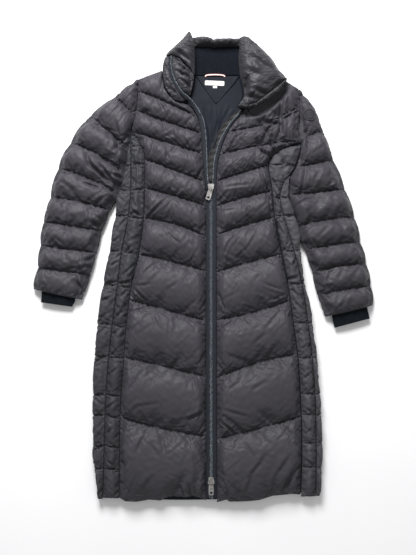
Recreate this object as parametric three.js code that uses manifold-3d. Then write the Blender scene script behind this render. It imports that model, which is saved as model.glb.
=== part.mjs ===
// Long puffer coat, laid flat with its front up. Millimetres, +Z up, collar towards +Y, hem towards -Y.
// Sides are the wearer's: the wearer's right front lies on -X. Every panel is a padded wall, and
// a short table gives it one row for each quilt line, from its outer seam to its inner one.
import * as THREE from 'three';
import Module from 'manifold-3d';
import { mergeVertices } from 'three/addons/utils/BufferGeometryUtils.js';

const wasm = await Module();
wasm.setup();

// Driving dimensions
const GAP = 0.6;
const LOWER_TOP = 15.4;
const UPPER_BASE = 16;
const SEAM_HEIGHT = 22;
const LINE_HEIGHT = 25;
const PUFF_POWER = 0.6;
const EDGE_ROLL = 24;
const SIDE_LIP = 12;
const SLEEVE_SIDE = 11;
const SHEET = 1.2;
const JERSEY = 1.8;
const FLAP = 2;
const LABEL = 1;
const LOOP_WIDTH = 4.4;
const CHAIN_HALF = 2;
const CHAIN_HEIGHT = 22.5;
const TAPE_HALF = 0.6;
const ZIP_CENTRE = 7.5;
const RIB_PITCH = 4.2;
const RIB_DEPTH = 1;
const BADGE_RADIUS = 15.5;
const BADGE_RIM = 2.2;
const PULL_LENGTH = 31;
const PULL_WIDTH = 12;
const PULL_THICK = 1.6;
const PULL_TILT = THREE.MathUtils.degToRad(16);
const SLIDER_TOP_BAR = 221;
const SLIDER_BOTTOM_BAR = -492;
const BAR_HEIGHT = 28.4;

// Colours
const SHELL = { color: 0x4a484d, roughness: 0.62, metalness: 0 };
const SHELL_SIDE = { color: 0x3d3f45, roughness: 0.65, metalness: 0 };
const INSIDE = { color: 0x2d3239, roughness: 0.7, metalness: 0 };
const KNIT = { color: 0x161c25, roughness: 0.95, metalness: 0 };
const TAPE = { color: 0x1d2732, roughness: 0.8, metalness: 0 };
const METAL = { color: 0xbdb7ab, roughness: 0.3, metalness: 1 };
const BLANK = { color: 0xe9e7e3, roughness: 0.85, metalness: 0 };
const PATCH = { color: 0x46464d, roughness: 0.5, metalness: 0 };

const coat = new THREE.Group();

function place(name, geometry, look) {
  const mesh = new THREE.Mesh(geometry, new THREE.MeshStandardMaterial(look));
  mesh.name = name;
  coat.add(mesh);
  return mesh;
}

// A seam or outline seen from above: x as a smooth function of y, through points given from top to hem
function seam(points) {
  const slope = (i) => {
    const before = points[Math.max(i - 1, 0)];
    const after = points[Math.min(i + 1, points.length - 1)];
    return (after.x - before.x) / (after.y - before.y);
  };
  return (y) => {
    let i = points.findIndex((point) => point.y <= y) - 1;
    if (i === -2) i = points.length - 2;
    i = Math.max(i, 0);
    const from = points[i];
    const to = points[i + 1];
    const span = to.y - from.y;
    const t = THREE.MathUtils.clamp((y - from.y) / span, 0, 1);
    const bend = t * (1 - t);
    const chord = (to.x - from.x) / span;
    return from.x + chord * span * t
      + span * bend * ((1 - t) * (slope(i) - chord) - t * (slope(i + 1) - chord));
  };
}

function shifted(curve, dx) {
  return (y) => curve(y) + dx;
}

function between(curve, limit, below) {
  return (y) => (y > limit ? curve(y) : below(y));
}

// Signed volume tells whether the faces point outwards
function volume(points, faces) {
  const [a, b, c] = [new THREE.Vector3(), new THREE.Vector3(), new THREE.Vector3()];
  return faces.reduce((sum, [i, j, k]) => {
    a.fromArray(points[i]);
    b.fromArray(points[j]);
    c.fromArray(points[k]);
    return sum + a.dot(b.cross(c)) / 6;
  }, 0);
}

function solid(points, faces) {
  const outward = volume(points, faces) > 0;
  const order = faces.flatMap(([i, j, k]) => (outward ? [i, j, k] : [i, k, j]));
  const geometry = new THREE.BufferGeometry();
  geometry.setAttribute('position', new THREE.Float32BufferAttribute(points.flat(), 3));
  geometry.setIndex(order);
  geometry.computeVertexNormals();
  return geometry;
}

// Ears are cut from a flat loop, the best shaped one first, and points on straight stretches are kept
const SLIVER = 1e-5;
const twice = (a, b, c) => (b.x - a.x) * (c.y - a.y) - (b.y - a.y) * (c.x - a.x);

function covers(a, b, c, point) {
  const shares = [a, b, c].some((corner) => corner.distanceTo(point) < SLIVER);
  return !shares && Math.min(twice(a, b, point), twice(b, c, point), twice(c, a, point)) > -SLIVER;
}

function earAt(ring, i) {
  const [a, b, c] = [ring.at(i - 1), ring[i], ring[(i + 1) % ring.length]];
  const area = twice(a.at, b.at, c.at);
  if (area < SLIVER) return { score: 0 };
  const longest = Math.max(a.at.distanceTo(b.at), b.at.distanceTo(c.at), c.at.distanceTo(a.at));
  const open = !ring.some((corner) => covers(a.at, b.at, c.at, corner.at));
  return { score: open ? area / longest ** 2 : 0, face: [a.id, b.id, c.id], i };
}

// The hole is joined to the loop by a bridge between their two nearest points
function bridged(loop, hole) {
  let best = { length: Infinity };
  loop.forEach((from, i) => hole.forEach((to, j) => {
    const length = from.at.distanceTo(to.at);
    if (length < best.length) best = { length, i, j };
  }));
  const turned = [...hole.slice(best.j), ...hole.slice(0, best.j + 1)];
  return [...loop.slice(0, best.i + 1), ...turned, ...loop.slice(best.i)];
}

// A flat cap over one loop of points, with an optional hole, wound with the loop or against it
function cap(points, loop, hole, flat, along) {
  const drawn = (ids) => ids.map((id) => ({ id, at: new THREE.Vector2(...flat(points[id])) }));
  const clockwise = THREE.ShapeUtils.area(drawn(loop).map((corner) => corner.at)) < 0;
  const wound = (ids) => drawn(clockwise ? [...ids].reverse() : ids);
  let ring = hole.length ? bridged(wound(loop), wound(hole).reverse()) : wound(loop);
  const faces = [];
  while (ring.length > 2) {
    const ears = ring.map((_, i) => earAt(ring, i));
    const best = ears.reduce((top, ear) => (ear.score > top.score ? ear : top));
    if (!best.face) throw new Error('A cap could not be closed');
    faces.push(best.face);
    ring = ring.filter((_, i) => i !== best.i);
  }
  return clockwise === along ? faces.map(([i, j, k]) => [i, k, j]) : faces;
}

// The skin over a grid of points, which joins its last column to its first where it is a ring
function skin(rows, columns, first, ring) {
  const faces = [];
  for (let r = 0; r < rows - 1; r += 1) {
    for (let c = 0; c < (ring ? columns : columns - 1); c += 1) {
      const next = (c + 1) % columns;
      const [a, b] = [first + r * columns + c, first + (r + 1) * columns + c];
      const [d, e] = [first + r * columns + next, first + (r + 1) * columns + next];
      faces.push([a, b, e], [a, e, d]);
    }
  }
  return faces;
}

// A padded wall: the grid is its upper side, and its underside is flat at the base height
function slab(grid, base) {
  const rows = grid.length;
  const columns = grid[0].length;
  const points = grid.flat();
  const faces = skin(rows, columns, 0, false);
  const rim = [];
  for (let r = 0; r < rows - 1; r += 1) rim.push(r * columns);
  for (let c = 0; c < columns - 1; c += 1) rim.push((rows - 1) * columns + c);
  for (let r = rows - 1; r > 0; r -= 1) rim.push(r * columns + columns - 1);
  for (let c = columns - 1; c > 0; c -= 1) rim.push(c);
  const foot = rim.map((id) => points.push([points[id][0], points[id][1], base]) - 1);
  rim.forEach((id, i) => {
    const n = (i + 1) % rim.length;
    faces.push([rim[n], id, foot[i]], [rim[n], foot[i], foot[n]]);
  });
  faces.push(...cap(points, foot, [], ([x, y]) => [x, y], false));
  return solid(points, faces);
}

// A loft through closed rings, with an inner loft of its own where it is a tube
function loft(rings, flat, bores = []) {
  const count = rings[0].length;
  const points = [...rings.flat(), ...bores.flat()];
  const faces = skin(rings.length, count, 0, true);
  const ids = (first, n) => Array.from({ length: n }, (_, i) => first + i);
  let holes = [[], []];
  if (bores.length) {
    const start = rings.length * count;
    const inner = bores[0].length;
    faces.push(...skin(bores.length, inner, start, true).map(([i, j, k]) => [i, k, j]));
    holes = [ids(start, inner), ids(start + (bores.length - 1) * inner, inner)];
  }
  faces.push(...cap(points, ids(0, count), holes[0], flat, true));
  faces.push(...cap(points, ids((rings.length - 1) * count, count), holes[1], flat, false));
  return solid(points, faces);
}

// Where a quilt line runs at the part u of its way from the outer seam to the inner one
function onLine(row, panel, u) {
  const out = Array.isArray(row.out) ? row.out : [panel.outSeam(row.out), row.out];
  const inn = Array.isArray(row.in) ? row.in : [panel.inSeam(row.in), row.in];
  const stops = [[0, ...out], ...(row.via || []), [1, ...inn]];
  const n = Math.min(stops.findIndex((stop) => stop[0] > u), stops.length - 1);
  const [from, to] = n < 0 ? stops.slice(-2) : [stops[n - 1], stops[n]];
  const part = (u - from[0]) / (to[0] - from[0]);
  const sag = (row.sag || 0) * 4 * u * (1 - u);
  const y = THREE.MathUtils.lerp(from[2], to[2], part) - sag;
  return [THREE.MathUtils.lerp(from[1], to[1], part), y];
}

// A point on a panel's upper side: k is the pillow, t the way down it and u the way across it
function onPanel(panel, k, t, u) {
  const row = panel.rows[k];
  const next = panel.rows[k + 1];
  const mix = (part) => onLine(row, panel, part).map((value, i) =>
    THREE.MathUtils.lerp(value, onLine(next, panel, part)[i], t));
  const [outer, inner, here] = [mix(0), mix(1), mix(u)];
  const onSeam = (side, curve, end) => {
    const held = !curve || Array.isArray(row[side]) || Array.isArray(next[side]);
    return held ? 0 : curve(end[1]) - end[0];
  };
  const swell = (panel.swell || 0) * Math.sin(Math.PI * t) * Math.sign(outer[0] - inner[0]);
  const outShift = onSeam('out', panel.outSeam, outer);
  const inShift = onSeam('in', panel.inSeam, inner);
  const x = here[0] + (outShift + swell) * (1 - u) ** 2 + inShift * u ** 2;
  const width = Math.hypot(outer[0] - inner[0], outer[1] - inner[1]);
  const roll = Math.min(EDGE_ROLL, width / 2);
  const rise = Math.sin(Math.min(1, Math.min(u, 1 - u) * width / roll) * Math.PI / 2);
  const puff = Math.max(Math.sin(Math.PI * t), 0) ** PUFF_POWER;
  const level = (name, usual) => THREE.MathUtils.lerp(row[name] || usual, next[name] || usual, t);
  const edge = level('edge', panel.edge || SEAM_HEIGHT);
  const line = level('line', panel.line || LINE_HEIGHT);
  return [x, here[1], edge + rise * (line - edge + (row.crest - line) * puff)];
}

const WIDE = [0, 0.05, 0.15, 0.34, 0.46, 0.58, 0.7, 0.82, 0.95, 1];
const NARROW = [0, 0.14, 0.5, 0.86, 1];
const DOWN = [0, 0.12, 0.35, 0.65, 0.88];

function panelGrid(panel) {
  const grid = [];
  panel.rows.slice(0, -1).forEach((row, k) => {
    panel.down.forEach((t) => grid.push(panel.across.map((u) => onPanel(panel, k, t, u))));
  });
  grid.push(panel.across.map((u) => onPanel(panel, panel.rows.length - 2, 1, u)));
  return grid;
}

function quilted(name, panel, look, base = UPPER_BASE) {
  return place(name, slab(panelGrid({ across: WIDE, down: DOWN, ...panel }), base), look);
}

// Seams and outlines, from the shoulder to the hem
const armholeRight = seam([
  { y: 509, x: -180 }, { y: 476, x: -179 }, { y: 427, x: -183 }, { y: 384, x: -193 }, { y: 345, x: -199 },
  { y: 324, x: -204 }, { y: 280, x: -208 }, { y: 245, x: -215 }, { y: 215, x: -226 }, { y: 199, x: -230 },
  { y: 182, x: -240 }, { y: 136, x: -258 }, { y: 110, x: -268 }, { y: 69, x: -276 }, { y: 24, x: -287 },
  { y: -55, x: -312 },
]);
const princessRight = seam([
  { y: 509, x: -180 }, { y: 476, x: -179 }, { y: 427, x: -183 }, { y: 384, x: -192 }, { y: 368, x: -190 },
  { y: 347, x: -176 }, { y: 323, x: -165 }, { y: 298, x: -160 }, { y: 223, x: -159 }, { y: 147, x: -161 },
  { y: 56, x: -173 }, { y: -29, x: -190 }, { y: -127, x: -201 }, { y: -199, x: -205 }, { y: -341, x: -212 },
  { y: -532, x: -211 },
]);
const sideSeamRight = seam([
  { y: 368, x: -195 }, { y: 335, x: -195 }, { y: 285, x: -194.5 }, { y: 218, x: -194 }, { y: 149, x: -200 },
  { y: 61, x: -215 }, { y: -24, x: -224 }, { y: -120, x: -235 }, { y: -198, x: -242 }, { y: -289, x: -247 },
  { y: -409, x: -249 }, { y: -532, x: -250 },
]);
const outlineRight = seam([
  { y: 345, x: -199 }, { y: 324, x: -204 }, { y: 280, x: -208 }, { y: 245, x: -215 }, { y: 215, x: -226 },
  { y: 199, x: -230 }, { y: 156, x: -232 }, { y: 65, x: -245 }, { y: -23, x: -260 },
  { y: -117, x: -272 }, { y: -197, x: -277 }, { y: -289, x: -279 }, { y: -410, x: -277 },
  { y: -462, x: -273 }, { y: -534, x: -264 },
]);
const armholeLeft = seam([
  { y: 483, x: 232 }, { y: 454, x: 235 }, { y: 435, x: 233.5 }, { y: 403, x: 231.5 }, { y: 371, x: 231 },
  { y: 343, x: 237 }, { y: 325, x: 235 }, { y: 284, x: 222 }, { y: 245, x: 206 }, { y: 211, x: 203 },
  { y: 177, x: 210 }, { y: 149, x: 220 }, { y: 121, x: 226 }, { y: 95, x: 231 }, { y: 65, x: 244 },
  { y: 12, x: 260 }, { y: -46, x: 273 }, { y: -97, x: 289 },
]);
const princessLeft = seam([
  { y: 345, x: 237 }, { y: 335, x: 211 }, { y: 322, x: 182 }, { y: 304, x: 161 }, { y: 283, x: 152 },
  { y: 265, x: 153 }, { y: 241, x: 158 }, { y: 198, x: 162 }, { y: 149, x: 166 }, { y: 61, x: 181 },
  { y: -19, x: 197 }, { y: -115, x: 209 }, { y: -200, x: 219 }, { y: -286, x: 223 }, { y: -402, x: 225 },
  { y: -524, x: 220 },
]);
const sideSeamLeft = seam([
  { y: 343, x: 236.4 }, { y: 325, x: 234.2 }, { y: 284, x: 221 }, { y: 262, x: 209 }, { y: 240, x: 192 },
  { y: 198, x: 181 }, { y: 152, x: 190 }, { y: 63, x: 214 }, { y: -19, x: 232 }, { y: -115, x: 245 },
  { y: -200, x: 254 }, { y: -287, x: 259 }, { y: -402, x: 260 }, { y: -520, x: 257 },
]);
const outlineLeft = seam([
  { y: 284, x: 222 }, { y: 245, x: 206 }, { y: 211, x: 203 }, { y: 177, x: 210 },
  { y: 149, x: 220 }, { y: 121, x: 226 }, { y: 95, x: 230 }, { y: 67, x: 230 }, { y: -18, x: 240 },
  { y: -68, x: 251 }, { y: -115, x: 257 }, { y: -200, x: 267 }, { y: -287, x: 272 },
  { y: -403, x: 274 }, { y: -459, x: 272 }, { y: -520, x: 267 },
]);
// Where the side back panels' lips end on the surface, next to the back
const lipRight = (y) => Math.min(outlineRight(y) + SIDE_LIP, sideSeamRight(y) - 2 * GAP);
const lipLeft = (y) => Math.max(outlineLeft(y) - SIDE_LIP, sideSeamLeft(y) + 2 * GAP);
const openingRight = seam([
  { y: 441, x: -47 }, { y: 420, x: -33.5 }, { y: 396, x: -23.2 }, { y: 355, x: -16.6 }, { y: 293, x: -12.6 },
  { y: 245, x: -8.8 }, { y: 212, x: -5 }, { y: 150, x: -5 }, { y: -540, x: -5 },
]);
const openingLeft = seam([
  { y: 433, x: 94.6 }, { y: 412, x: 80.6 }, { y: 381, x: 56.6 }, { y: 336, x: 36.6 }, { y: 300, x: 27 },
  { y: 281, x: 23.5 }, { y: 238, x: 21 }, { y: 150, x: 21 }, { y: -540, x: 21 },
]);

// Lower layer: the back and the outer layer of the collar, flat on the surface
const back = {
  outSeam: between(shifted(armholeRight, GAP), 339, shifted(lipRight, GAP)),
  inSeam: between(shifted(armholeLeft, -GAP), 255, shifted(lipLeft, -GAP)),
  edge: LOWER_TOP, line: LOWER_TOP,
  across: [0, 0.16, 0.36, 0.64, 0.92, 1], down: [0, 0.5],
  rows: [
    { out: [-179, 508], in: [231, 482], crest: LOWER_TOP,
      via: [[0.16, -115, 532], [0.36, -34, 519], [0.64, 84, 519], [0.92, 199, 506]] },
    { out: 476, in: 454, crest: LOWER_TOP },
    { out: 430, in: 425, crest: LOWER_TOP },
    { out: 384, in: 371, crest: LOWER_TOP },
    { out: 342, in: 342, crest: LOWER_TOP },
    { out: 336, in: 322, crest: LOWER_TOP },
    { out: 280, in: 284, crest: LOWER_TOP },
    { out: 257, in: 257, crest: LOWER_TOP },
    { out: 253, in: 253, crest: LOWER_TOP },
    { out: 240, in: 238, crest: LOWER_TOP },
    { out: 199, in: 205, crest: LOWER_TOP },
    { out: 150, in: 150, crest: LOWER_TOP },
    { out: 60, in: 60, crest: LOWER_TOP },
    { out: 0, in: 20, crest: LOWER_TOP },
    { out: -60, in: -30, crest: LOWER_TOP },
    { out: -160, in: -160, crest: LOWER_TOP },
    { out: -380, in: -380, crest: LOWER_TOP },
    { out: -524, in: -510, sag: 12, crest: LOWER_TOP, line: 13, edge: 13 },
    { out: -530, in: -517, sag: 14, crest: 6, line: 6, edge: 6 },
  ],
};
quilted('back', back, SHELL, 0);

const collarBack = {
  edge: LOWER_TOP, line: LOWER_TOP, across: [0, 0.2, 0.4, 0.6, 0.8, 1], down: [0, 0.5],
  rows: [
    { out: [-50, 626], in: [103, 614], crest: LOWER_TOP,
      via: [[0.2, -36, 616], [0.4, -6, 617], [0.6, 21, 611], [0.8, 76, 615]] },
    { out: [-84, 592], in: [128, 592], crest: LOWER_TOP },
    { out: [-113, 545], in: [172, 540], crest: LOWER_TOP },
    { out: [-114, 533.4], in: [198, 508.4], crest: LOWER_TOP,
      via: [[0.2, -50, 523], [0.4, 0, 520], [0.6, 84, 520], [0.8, 130, 514.6]] },
  ],
};
quilted('collar_back', collarBack, SHELL, 0);

// Fronts, quilted in chevrons that fall towards the zip
const frontRight = {
  outSeam: shifted(princessRight, GAP), inSeam: openingRight,
  rows: [
    { out: 508, in: 441, crest: 36,
      via: [[0.34, -117, 532], [0.46, -116, 512], [0.58, -111, 484], [0.7, -98, 461],
        [0.82, -82.5, 447.5]] },
    { out: 476, in: 403, sag: -5, crest: 40 },
    { out: 427, in: 366, sag: 4, crest: 42 },
    { out: 368, in: 311, crest: 43 },
    { out: 298, in: 239, crest: 44 },
    { out: 223, in: 177, sag: -2, crest: 44 },
    { out: 147, in: 99, sag: -8, crest: 45 },
    { out: 56, in: 13, sag: -2, crest: 45 },
    { out: -58, in: -110, crest: 46 },
    { out: -199, in: -246, sag: -2, crest: 46 },
    { out: -341, in: -386, sag: 5, crest: 47 },
    { out: -530, in: -535, sag: 2, crest: 40, line: 21, edge: 20 },
  ],
};
quilted('front_right', frontRight, SHELL);

const frontLeft = {
  outSeam: between(shifted(armholeLeft, -GAP), 344, shifted(princessLeft, -GAP)), inSeam: openingLeft,
  rows: [
    { out: 483, in: 432, crest: 34,
      via: [[0.15, 200.5, 502.5], [0.34, 177, 484.5], [0.46, 162, 472], [0.58, 147.5, 460], [0.7, 133.5, 449],
        [0.82, 120, 438.5], [0.95, 104, 432]] },
    { out: 436, in: 371, sag: 14, crest: 38 },
    { out: 345, in: 309, sag: -6, crest: 42 },
    { out: 283, in: 241, crest: 43 },
    { out: 216, in: 177, sag: -2, crest: 44 },
    { out: 149, in: 104, sag: -2, crest: 45 },
    { out: 56, in: 11, sag: -2, crest: 45 },
    { out: -58, in: -107, sag: 6, crest: 46 },
    { out: -190, in: -248, sag: -7, crest: 46 },
    { out: -339, in: -393, sag: 2, crest: 47 },
    { out: -522, in: -536, sag: 3, crest: 40, line: 21, edge: 20 },
  ],
};
quilted('front_left', frontLeft, SHELL);

// Side panels between the princess seam and the side seam
const sideLook = { across: NARROW, edge: SEAM_HEIGHT, line: 24 };
const sideFrontRight = {
  ...sideLook, outSeam: shifted(sideSeamRight, GAP), inSeam: shifted(princessRight, -GAP),
  rows: [
    { out: 358, in: 358, crest: 29, edge: 20, line: 21 },
    { out: 332, in: 330, crest: 31 }, { out: 285, in: 285, crest: 33 },
    { out: 218, in: 218, crest: 35 }, { out: 149, in: 144, crest: 36 },
    { out: 61, in: 56, crest: 36 }, { out: -24, in: -29, crest: 36 },
    { out: -120, in: -127, crest: 36 }, { out: -198, in: -200, crest: 36 },
    { out: -289, in: -293, crest: 35 }, { out: -336, in: -346, crest: 36 },
    { out: -409, in: -414, crest: 35 }, { out: -461, in: -465, crest: 36 },
    { out: -530, in: -531, crest: 32, line: 21, edge: 20 },
  ],
};
quilted('side_front_right', sideFrontRight, SHELL_SIDE);

const sideFrontLeft = {
  ...sideLook, outSeam: shifted(sideSeamLeft, -GAP), inSeam: shifted(princessLeft, 3 * GAP),
  rows: [
    { out: 333, in: 330, crest: 33, edge: 20, line: 22 },
    { out: 280, in: 284, crest: 30 }, { out: 236, in: 241, crest: 31 }, { out: 198, in: 198, crest: 34 },
    { out: 152, in: 152, crest: 36 }, { out: 63, in: 61, crest: 36 }, { out: -19, in: -19, crest: 36 },
    { out: -115, in: -115, crest: 36 }, { out: -200, in: -200, crest: 36 },
    { out: -287, in: -286, crest: 35 }, { out: -336, in: -336, crest: 36 },
    { out: -403, in: -402, crest: 35 }, { out: -459, in: -458, crest: 36 },
    { out: -519, in: -522, crest: 32, line: 21, edge: 20 },
  ],
};
quilted('side_front_left', sideFrontLeft, SHELL_SIDE);

// Side back panels, which roll over the coat's outline and rest on the surface with a narrow lip.
// The roll is given as shares of the lip's width, with the height at each.
const ROLL = [
  { share: 0.58, z: 0 }, { share: 0.33, z: 1.5 }, { share: 0.05, z: 6 }, { share: 0, z: 13 },
  { share: 0.12, z: 21 },
];
const ROLL_ACROSS = [0.22, 0.5, 0.82, 1];
function rolledPanel(name, panel, lip) {
  const rings = panelGrid({ across: ROLL_ACROSS, down: DOWN, ...panel }).map((row) => {
    const y = row[0][1];
    const edge = panel.outSeam(y);
    const roll = ROLL.map(({ share, z }) => [THREE.MathUtils.lerp(edge, lip(y), share), y, z]);
    const inner = [row.at(-1)[0], y, UPPER_BASE];
    return [...roll, ...row, inner, [lip(y), y, UPPER_BASE], [lip(y), y, 0]];
  });
  return place(name, loft(rings, ([x, , z]) => [x, z]), SHELL_SIDE);
}
const sideBackRight = {
  outSeam: outlineRight, inSeam: shifted(sideSeamRight, -GAP), edge: 24, line: 25,
  rows: [
    { out: 338, in: 338, crest: 27 }, { out: 280, in: 280, crest: 30 },
    { out: 216, in: 216, crest: 33 }, { out: 152, in: 152, crest: 34 },
    { out: 63, in: 63, crest: 34 }, { out: -23, in: -23, crest: 34 },
    { out: -118, in: -118, crest: 34 }, { out: -197, in: -197, crest: 34 },
    { out: -289, in: -289, crest: 33 }, { out: -337, in: -337, crest: 34 },
    { out: -410, in: -410, crest: 33 }, { out: -462, in: -462, crest: 34 },
    { out: -532, in: -532, crest: 30, line: 22, edge: 21 },
  ],
};
rolledPanel('side_back_right', sideBackRight, lipRight);
const sideBackLeft = {
  outSeam: outlineLeft, inSeam: shifted(sideSeamLeft, GAP), edge: 24, line: 25,
  rows: [
    { out: 254, in: 254, crest: 27 }, { out: 198, in: 198, crest: 31 },
    { out: 152, in: 152, crest: 33 }, { out: 65, in: 65, crest: 33 },
    { out: -18, in: -18, crest: 31 }, { out: -115, in: -115, crest: 32 },
    { out: -200, in: -200, crest: 32 }, { out: -287, in: -287, crest: 32 },
    { out: -336, in: -336, crest: 33 }, { out: -403, in: -403, crest: 32 },
    { out: -459, in: -459, crest: 33 }, { out: -518, in: -518, crest: 29, line: 22, edge: 21 },
  ],
};
rolledPanel('side_back_left', sideBackLeft, lipLeft);

// Sleeves: flattened tubes, quilted on the outside and plain within, whose mouths take the cuffs
const SLEEVE_ACROSS = [0, 0.05, 0.17, 0.36, 0.62, 0.82, 0.94, 1];
const BORE_ACROSS = [0.28, 0.4, 0.6, 0.72];
const MOUTH_ACROSS = [0.1, 0.35, 0.65, 0.9];
const SHOULDER_BORE = [11, 13];
const ARM_BORE = [10, 13];
const MOUTH = [5.5, 17];
const MOUTH_FROM = 0.45;
const FOOT_INSET = 7;
function sleeve(name, panel) {
  const rings = panelGrid({ across: SLEEVE_ACROSS, down: DOWN, ...panel }).map((row) => {
    const [first, last] = [row[0], row[row.length - 1]];
    const width = Math.hypot(first[0] - last[0], first[1] - last[1]);
    const inset = Math.min(FOOT_INSET, width / 4) / width;
    const foot = (u) => [0, 1].map((i) => THREE.MathUtils.lerp(first[i], last[i], u));
    return [...row, [...foot(1 - inset), 0], [...foot(inset), 0]];
  });
  const bore = (k, t, across, [low, high]) => {
    const top = across.map((u) => [...onPanel(panel, k, t, u).slice(0, 2), high]);
    return [...top, ...top.map(([x, y]) => [x, y, low]).reverse()];
  };
  const last = panel.rows.length - 2;
  const bores = [
    bore(0, 0, BORE_ACROSS, SHOULDER_BORE),
    ...panel.rows.slice(1, -1).map((_, k) => bore(k + 1, 0, MOUTH_ACROSS, ARM_BORE)),
    bore(last, MOUTH_FROM, MOUTH_ACROSS, MOUTH), bore(last, 1, MOUTH_ACROSS, MOUTH),
  ];
  return place(name, loft(rings, ([x, , z]) => [x, z], bores), SHELL);
}
const sleeveRight = {
  edge: SLEEVE_SIDE, swell: 3, inSeam: shifted(armholeRight, -GAP),
  outSeam: seam([
    { y: 511, x: -181.5 }, { y: 465, x: -239 }, { y: 415, x: -299 }, { y: 342, x: -349 }, { y: 276, x: -378 },
    { y: 200, x: -396 }, { y: 138, x: -411 }, { y: 79, x: -417 }, { y: 22, x: -422 }, { y: -29, x: -432 },
  ]),
  rows: [
    { out: 510, in: 507, crest: 34 }, { out: 465, in: 411, crest: 42 },
    { out: 415, in: 332, sag: 6, crest: 44 },
    { out: 342, in: 267, sag: -6, crest: 42 }, { out: 276, in: 212, sag: -4, crest: 40 },
    { out: 200, in: 167, sag: -4, crest: 40 }, { out: 138, in: 114, crest: 40 },
    { out: 79, in: 60, sag: 2, crest: 39 }, { out: 22, in: 4, crest: 36 },
    { out: -29, in: -55, sag: 2, crest: 24, line: 23 },
  ],
};
sleeve('sleeve_right', sleeveRight);
const sleeveLeft = {
  edge: SLEEVE_SIDE, swell: 3, inSeam: shifted(armholeLeft, GAP),
  outSeam: seam([
    { y: 480, x: 235.5 }, { y: 429, x: 271 }, { y: 371, x: 294 }, { y: 298, x: 317 }, { y: 221, x: 344 },
    { y: 150, x: 366 }, { y: 87, x: 379 }, { y: 33, x: 392 }, { y: -23, x: 402 }, { y: -69, x: 407 },
  ]),
  rows: [
    { out: 482, in: 480, crest: 36 }, { out: 371, in: 342, sag: -6, crest: 42 },
    { out: 298, in: 277, sag: 2, crest: 43 }, { out: 221, in: 206, sag: 1, crest: 42 },
    { out: 150, in: 127, sag: -3, crest: 42 }, { out: 87, in: 65, sag: -3, crest: 41 },
    { out: 33, in: 12, sag: -2, crest: 41 }, { out: -23, in: -46, sag: -2, crest: 38 },
    { out: -69, in: -97, sag: 2, crest: 24, line: 23 },
  ],
};
const sleeveLeftMesh = sleeve('sleeve_left', sleeveLeft);

// Knit cuffs: flattened tubes with raised ribs, seated in the sleeves' mouths
const CUFF = { middle: 11.5, half: 4.9, bore: 1, boreAcross: [0.06, 0.3, 0.7, 0.94] };
function cuff(name, rows) {
  const width = Math.hypot(rows[0].out[0] - rows[0].in[0], rows[0].out[1] - rows[0].in[1]);
  const ribs = Math.round(width / RIB_PITCH);
  const at = (row, u, z) => [...[0, 1].map((i) => THREE.MathUtils.lerp(row.out[i], row.in[i], u)), z];
  const face = (row, sign) => Array.from({ length: 2 * ribs - 1 }, (_, i) => {
    const u = (i + 1) / (2 * ribs);
    const rise = CUFF.half * Math.sqrt(Math.sin(Math.PI * u)) - (i % 2 ? RIB_DEPTH : 0);
    return at(row, u, CUFF.middle + sign * rise);
  });
  const ring = (row) => [
    at(row, 0, CUFF.middle), ...face(row, 1), at(row, 1, CUFF.middle), ...face(row, -1).reverse(),
  ];
  const bore = (row) => {
    const side = (sign) => CUFF.boreAcross.map((u) => at(row, u, CUFF.middle + sign * CUFF.bore));
    return [...side(1), ...side(-1).reverse()];
  };
  return place(name, loft(rows.map(ring), ([x, , z]) => [x, z], [bore(rows[0]), bore(rows[2])]), KNIT);
}
cuff('cuff_right', [
  { out: [-414, -10], in: [-329, -28] },
  { out: [-412, -40], in: [-328, -57] },
  { out: [-413, -62], in: [-335, -73] },
]);
cuff('cuff_left', [
  { out: [391, -52], in: [304, -72] },
  { out: [395, -84], in: [306, -104] },
  { out: [399, -102], in: [311, -125] },
]);

// The wearer's right collar end, rolled outwards: outer strip, facing and roll, with the chain between
const chainRight = seam([
  { y: 563, x: -93 }, { y: 537, x: -94 }, { y: 511, x: -89 }, { y: 490, x: -80 }, { y: 469, x: -66 },
  { y: 454, x: -49 }, { y: 438, x: -33 },
]);
const collarOutline = seam([
  { y: 632, x: -50 }, { y: 616, x: -62 }, { y: 591, x: -86 }, { y: 575, x: -101 }, { y: 559, x: -110 },
  { y: 538, x: -115 }, { y: 519, x: -115 }, { y: 501, x: -112 }, { y: 480, x: -106 }, { y: 463, x: -95 },
  { y: 449, x: -81 },
]);
const rollRight = seam([
  { y: 632, x: -46 }, { y: 620, x: -41 }, { y: 599, x: -35 }, { y: 575, x: -33.5 }, { y: 543, x: -33.5 },
  { y: 514, x: -34.5 },
]);
const ridgeRight = seam([
  { y: 563, x: -90 }, { y: 557, x: -73 }, { y: 544, x: -61 }, { y: 530, x: -47 }, { y: 512, x: -36 },
  { y: 490, x: -38.5 }, { y: 470, x: -43 }, { y: 460, x: -46 },
]);
quilted('collar_edge_right', {
  across: NARROW, edge: 36, line: 39, outSeam: collarOutline, inSeam: shifted(chainRight, -GAP / 2),
  rows: [
    { out: 561, in: 560, crest: 42 }, { out: 538, in: 537, crest: 42 }, { out: 510, in: 500, crest: 41 },
    { out: 480, in: 474, crest: 38, edge: 34, line: 36 },
    { out: 450, in: 455, crest: 33, edge: 29, line: 30, via: [[0.5, -65, 447]] },
  ],
}, SHELL);
quilted('collar_facing_right', {
  across: NARROW, edge: 38, line: 42,
  outSeam: shifted(chainRight, GAP / 2), inSeam: shifted(ridgeRight, -GAP),
  rows: [
    { out: 561, in: 561, crest: 42 }, { out: 545, in: 546, crest: 46 }, { out: 525, in: 528, crest: 47 },
    { out: 500, in: 504, crest: 45 }, { out: 478, in: 482, crest: 40, edge: 34, line: 36 },
    { out: 462, in: 464, crest: 34, edge: 30, line: 31 },
  ],
}, SHELL);
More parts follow.
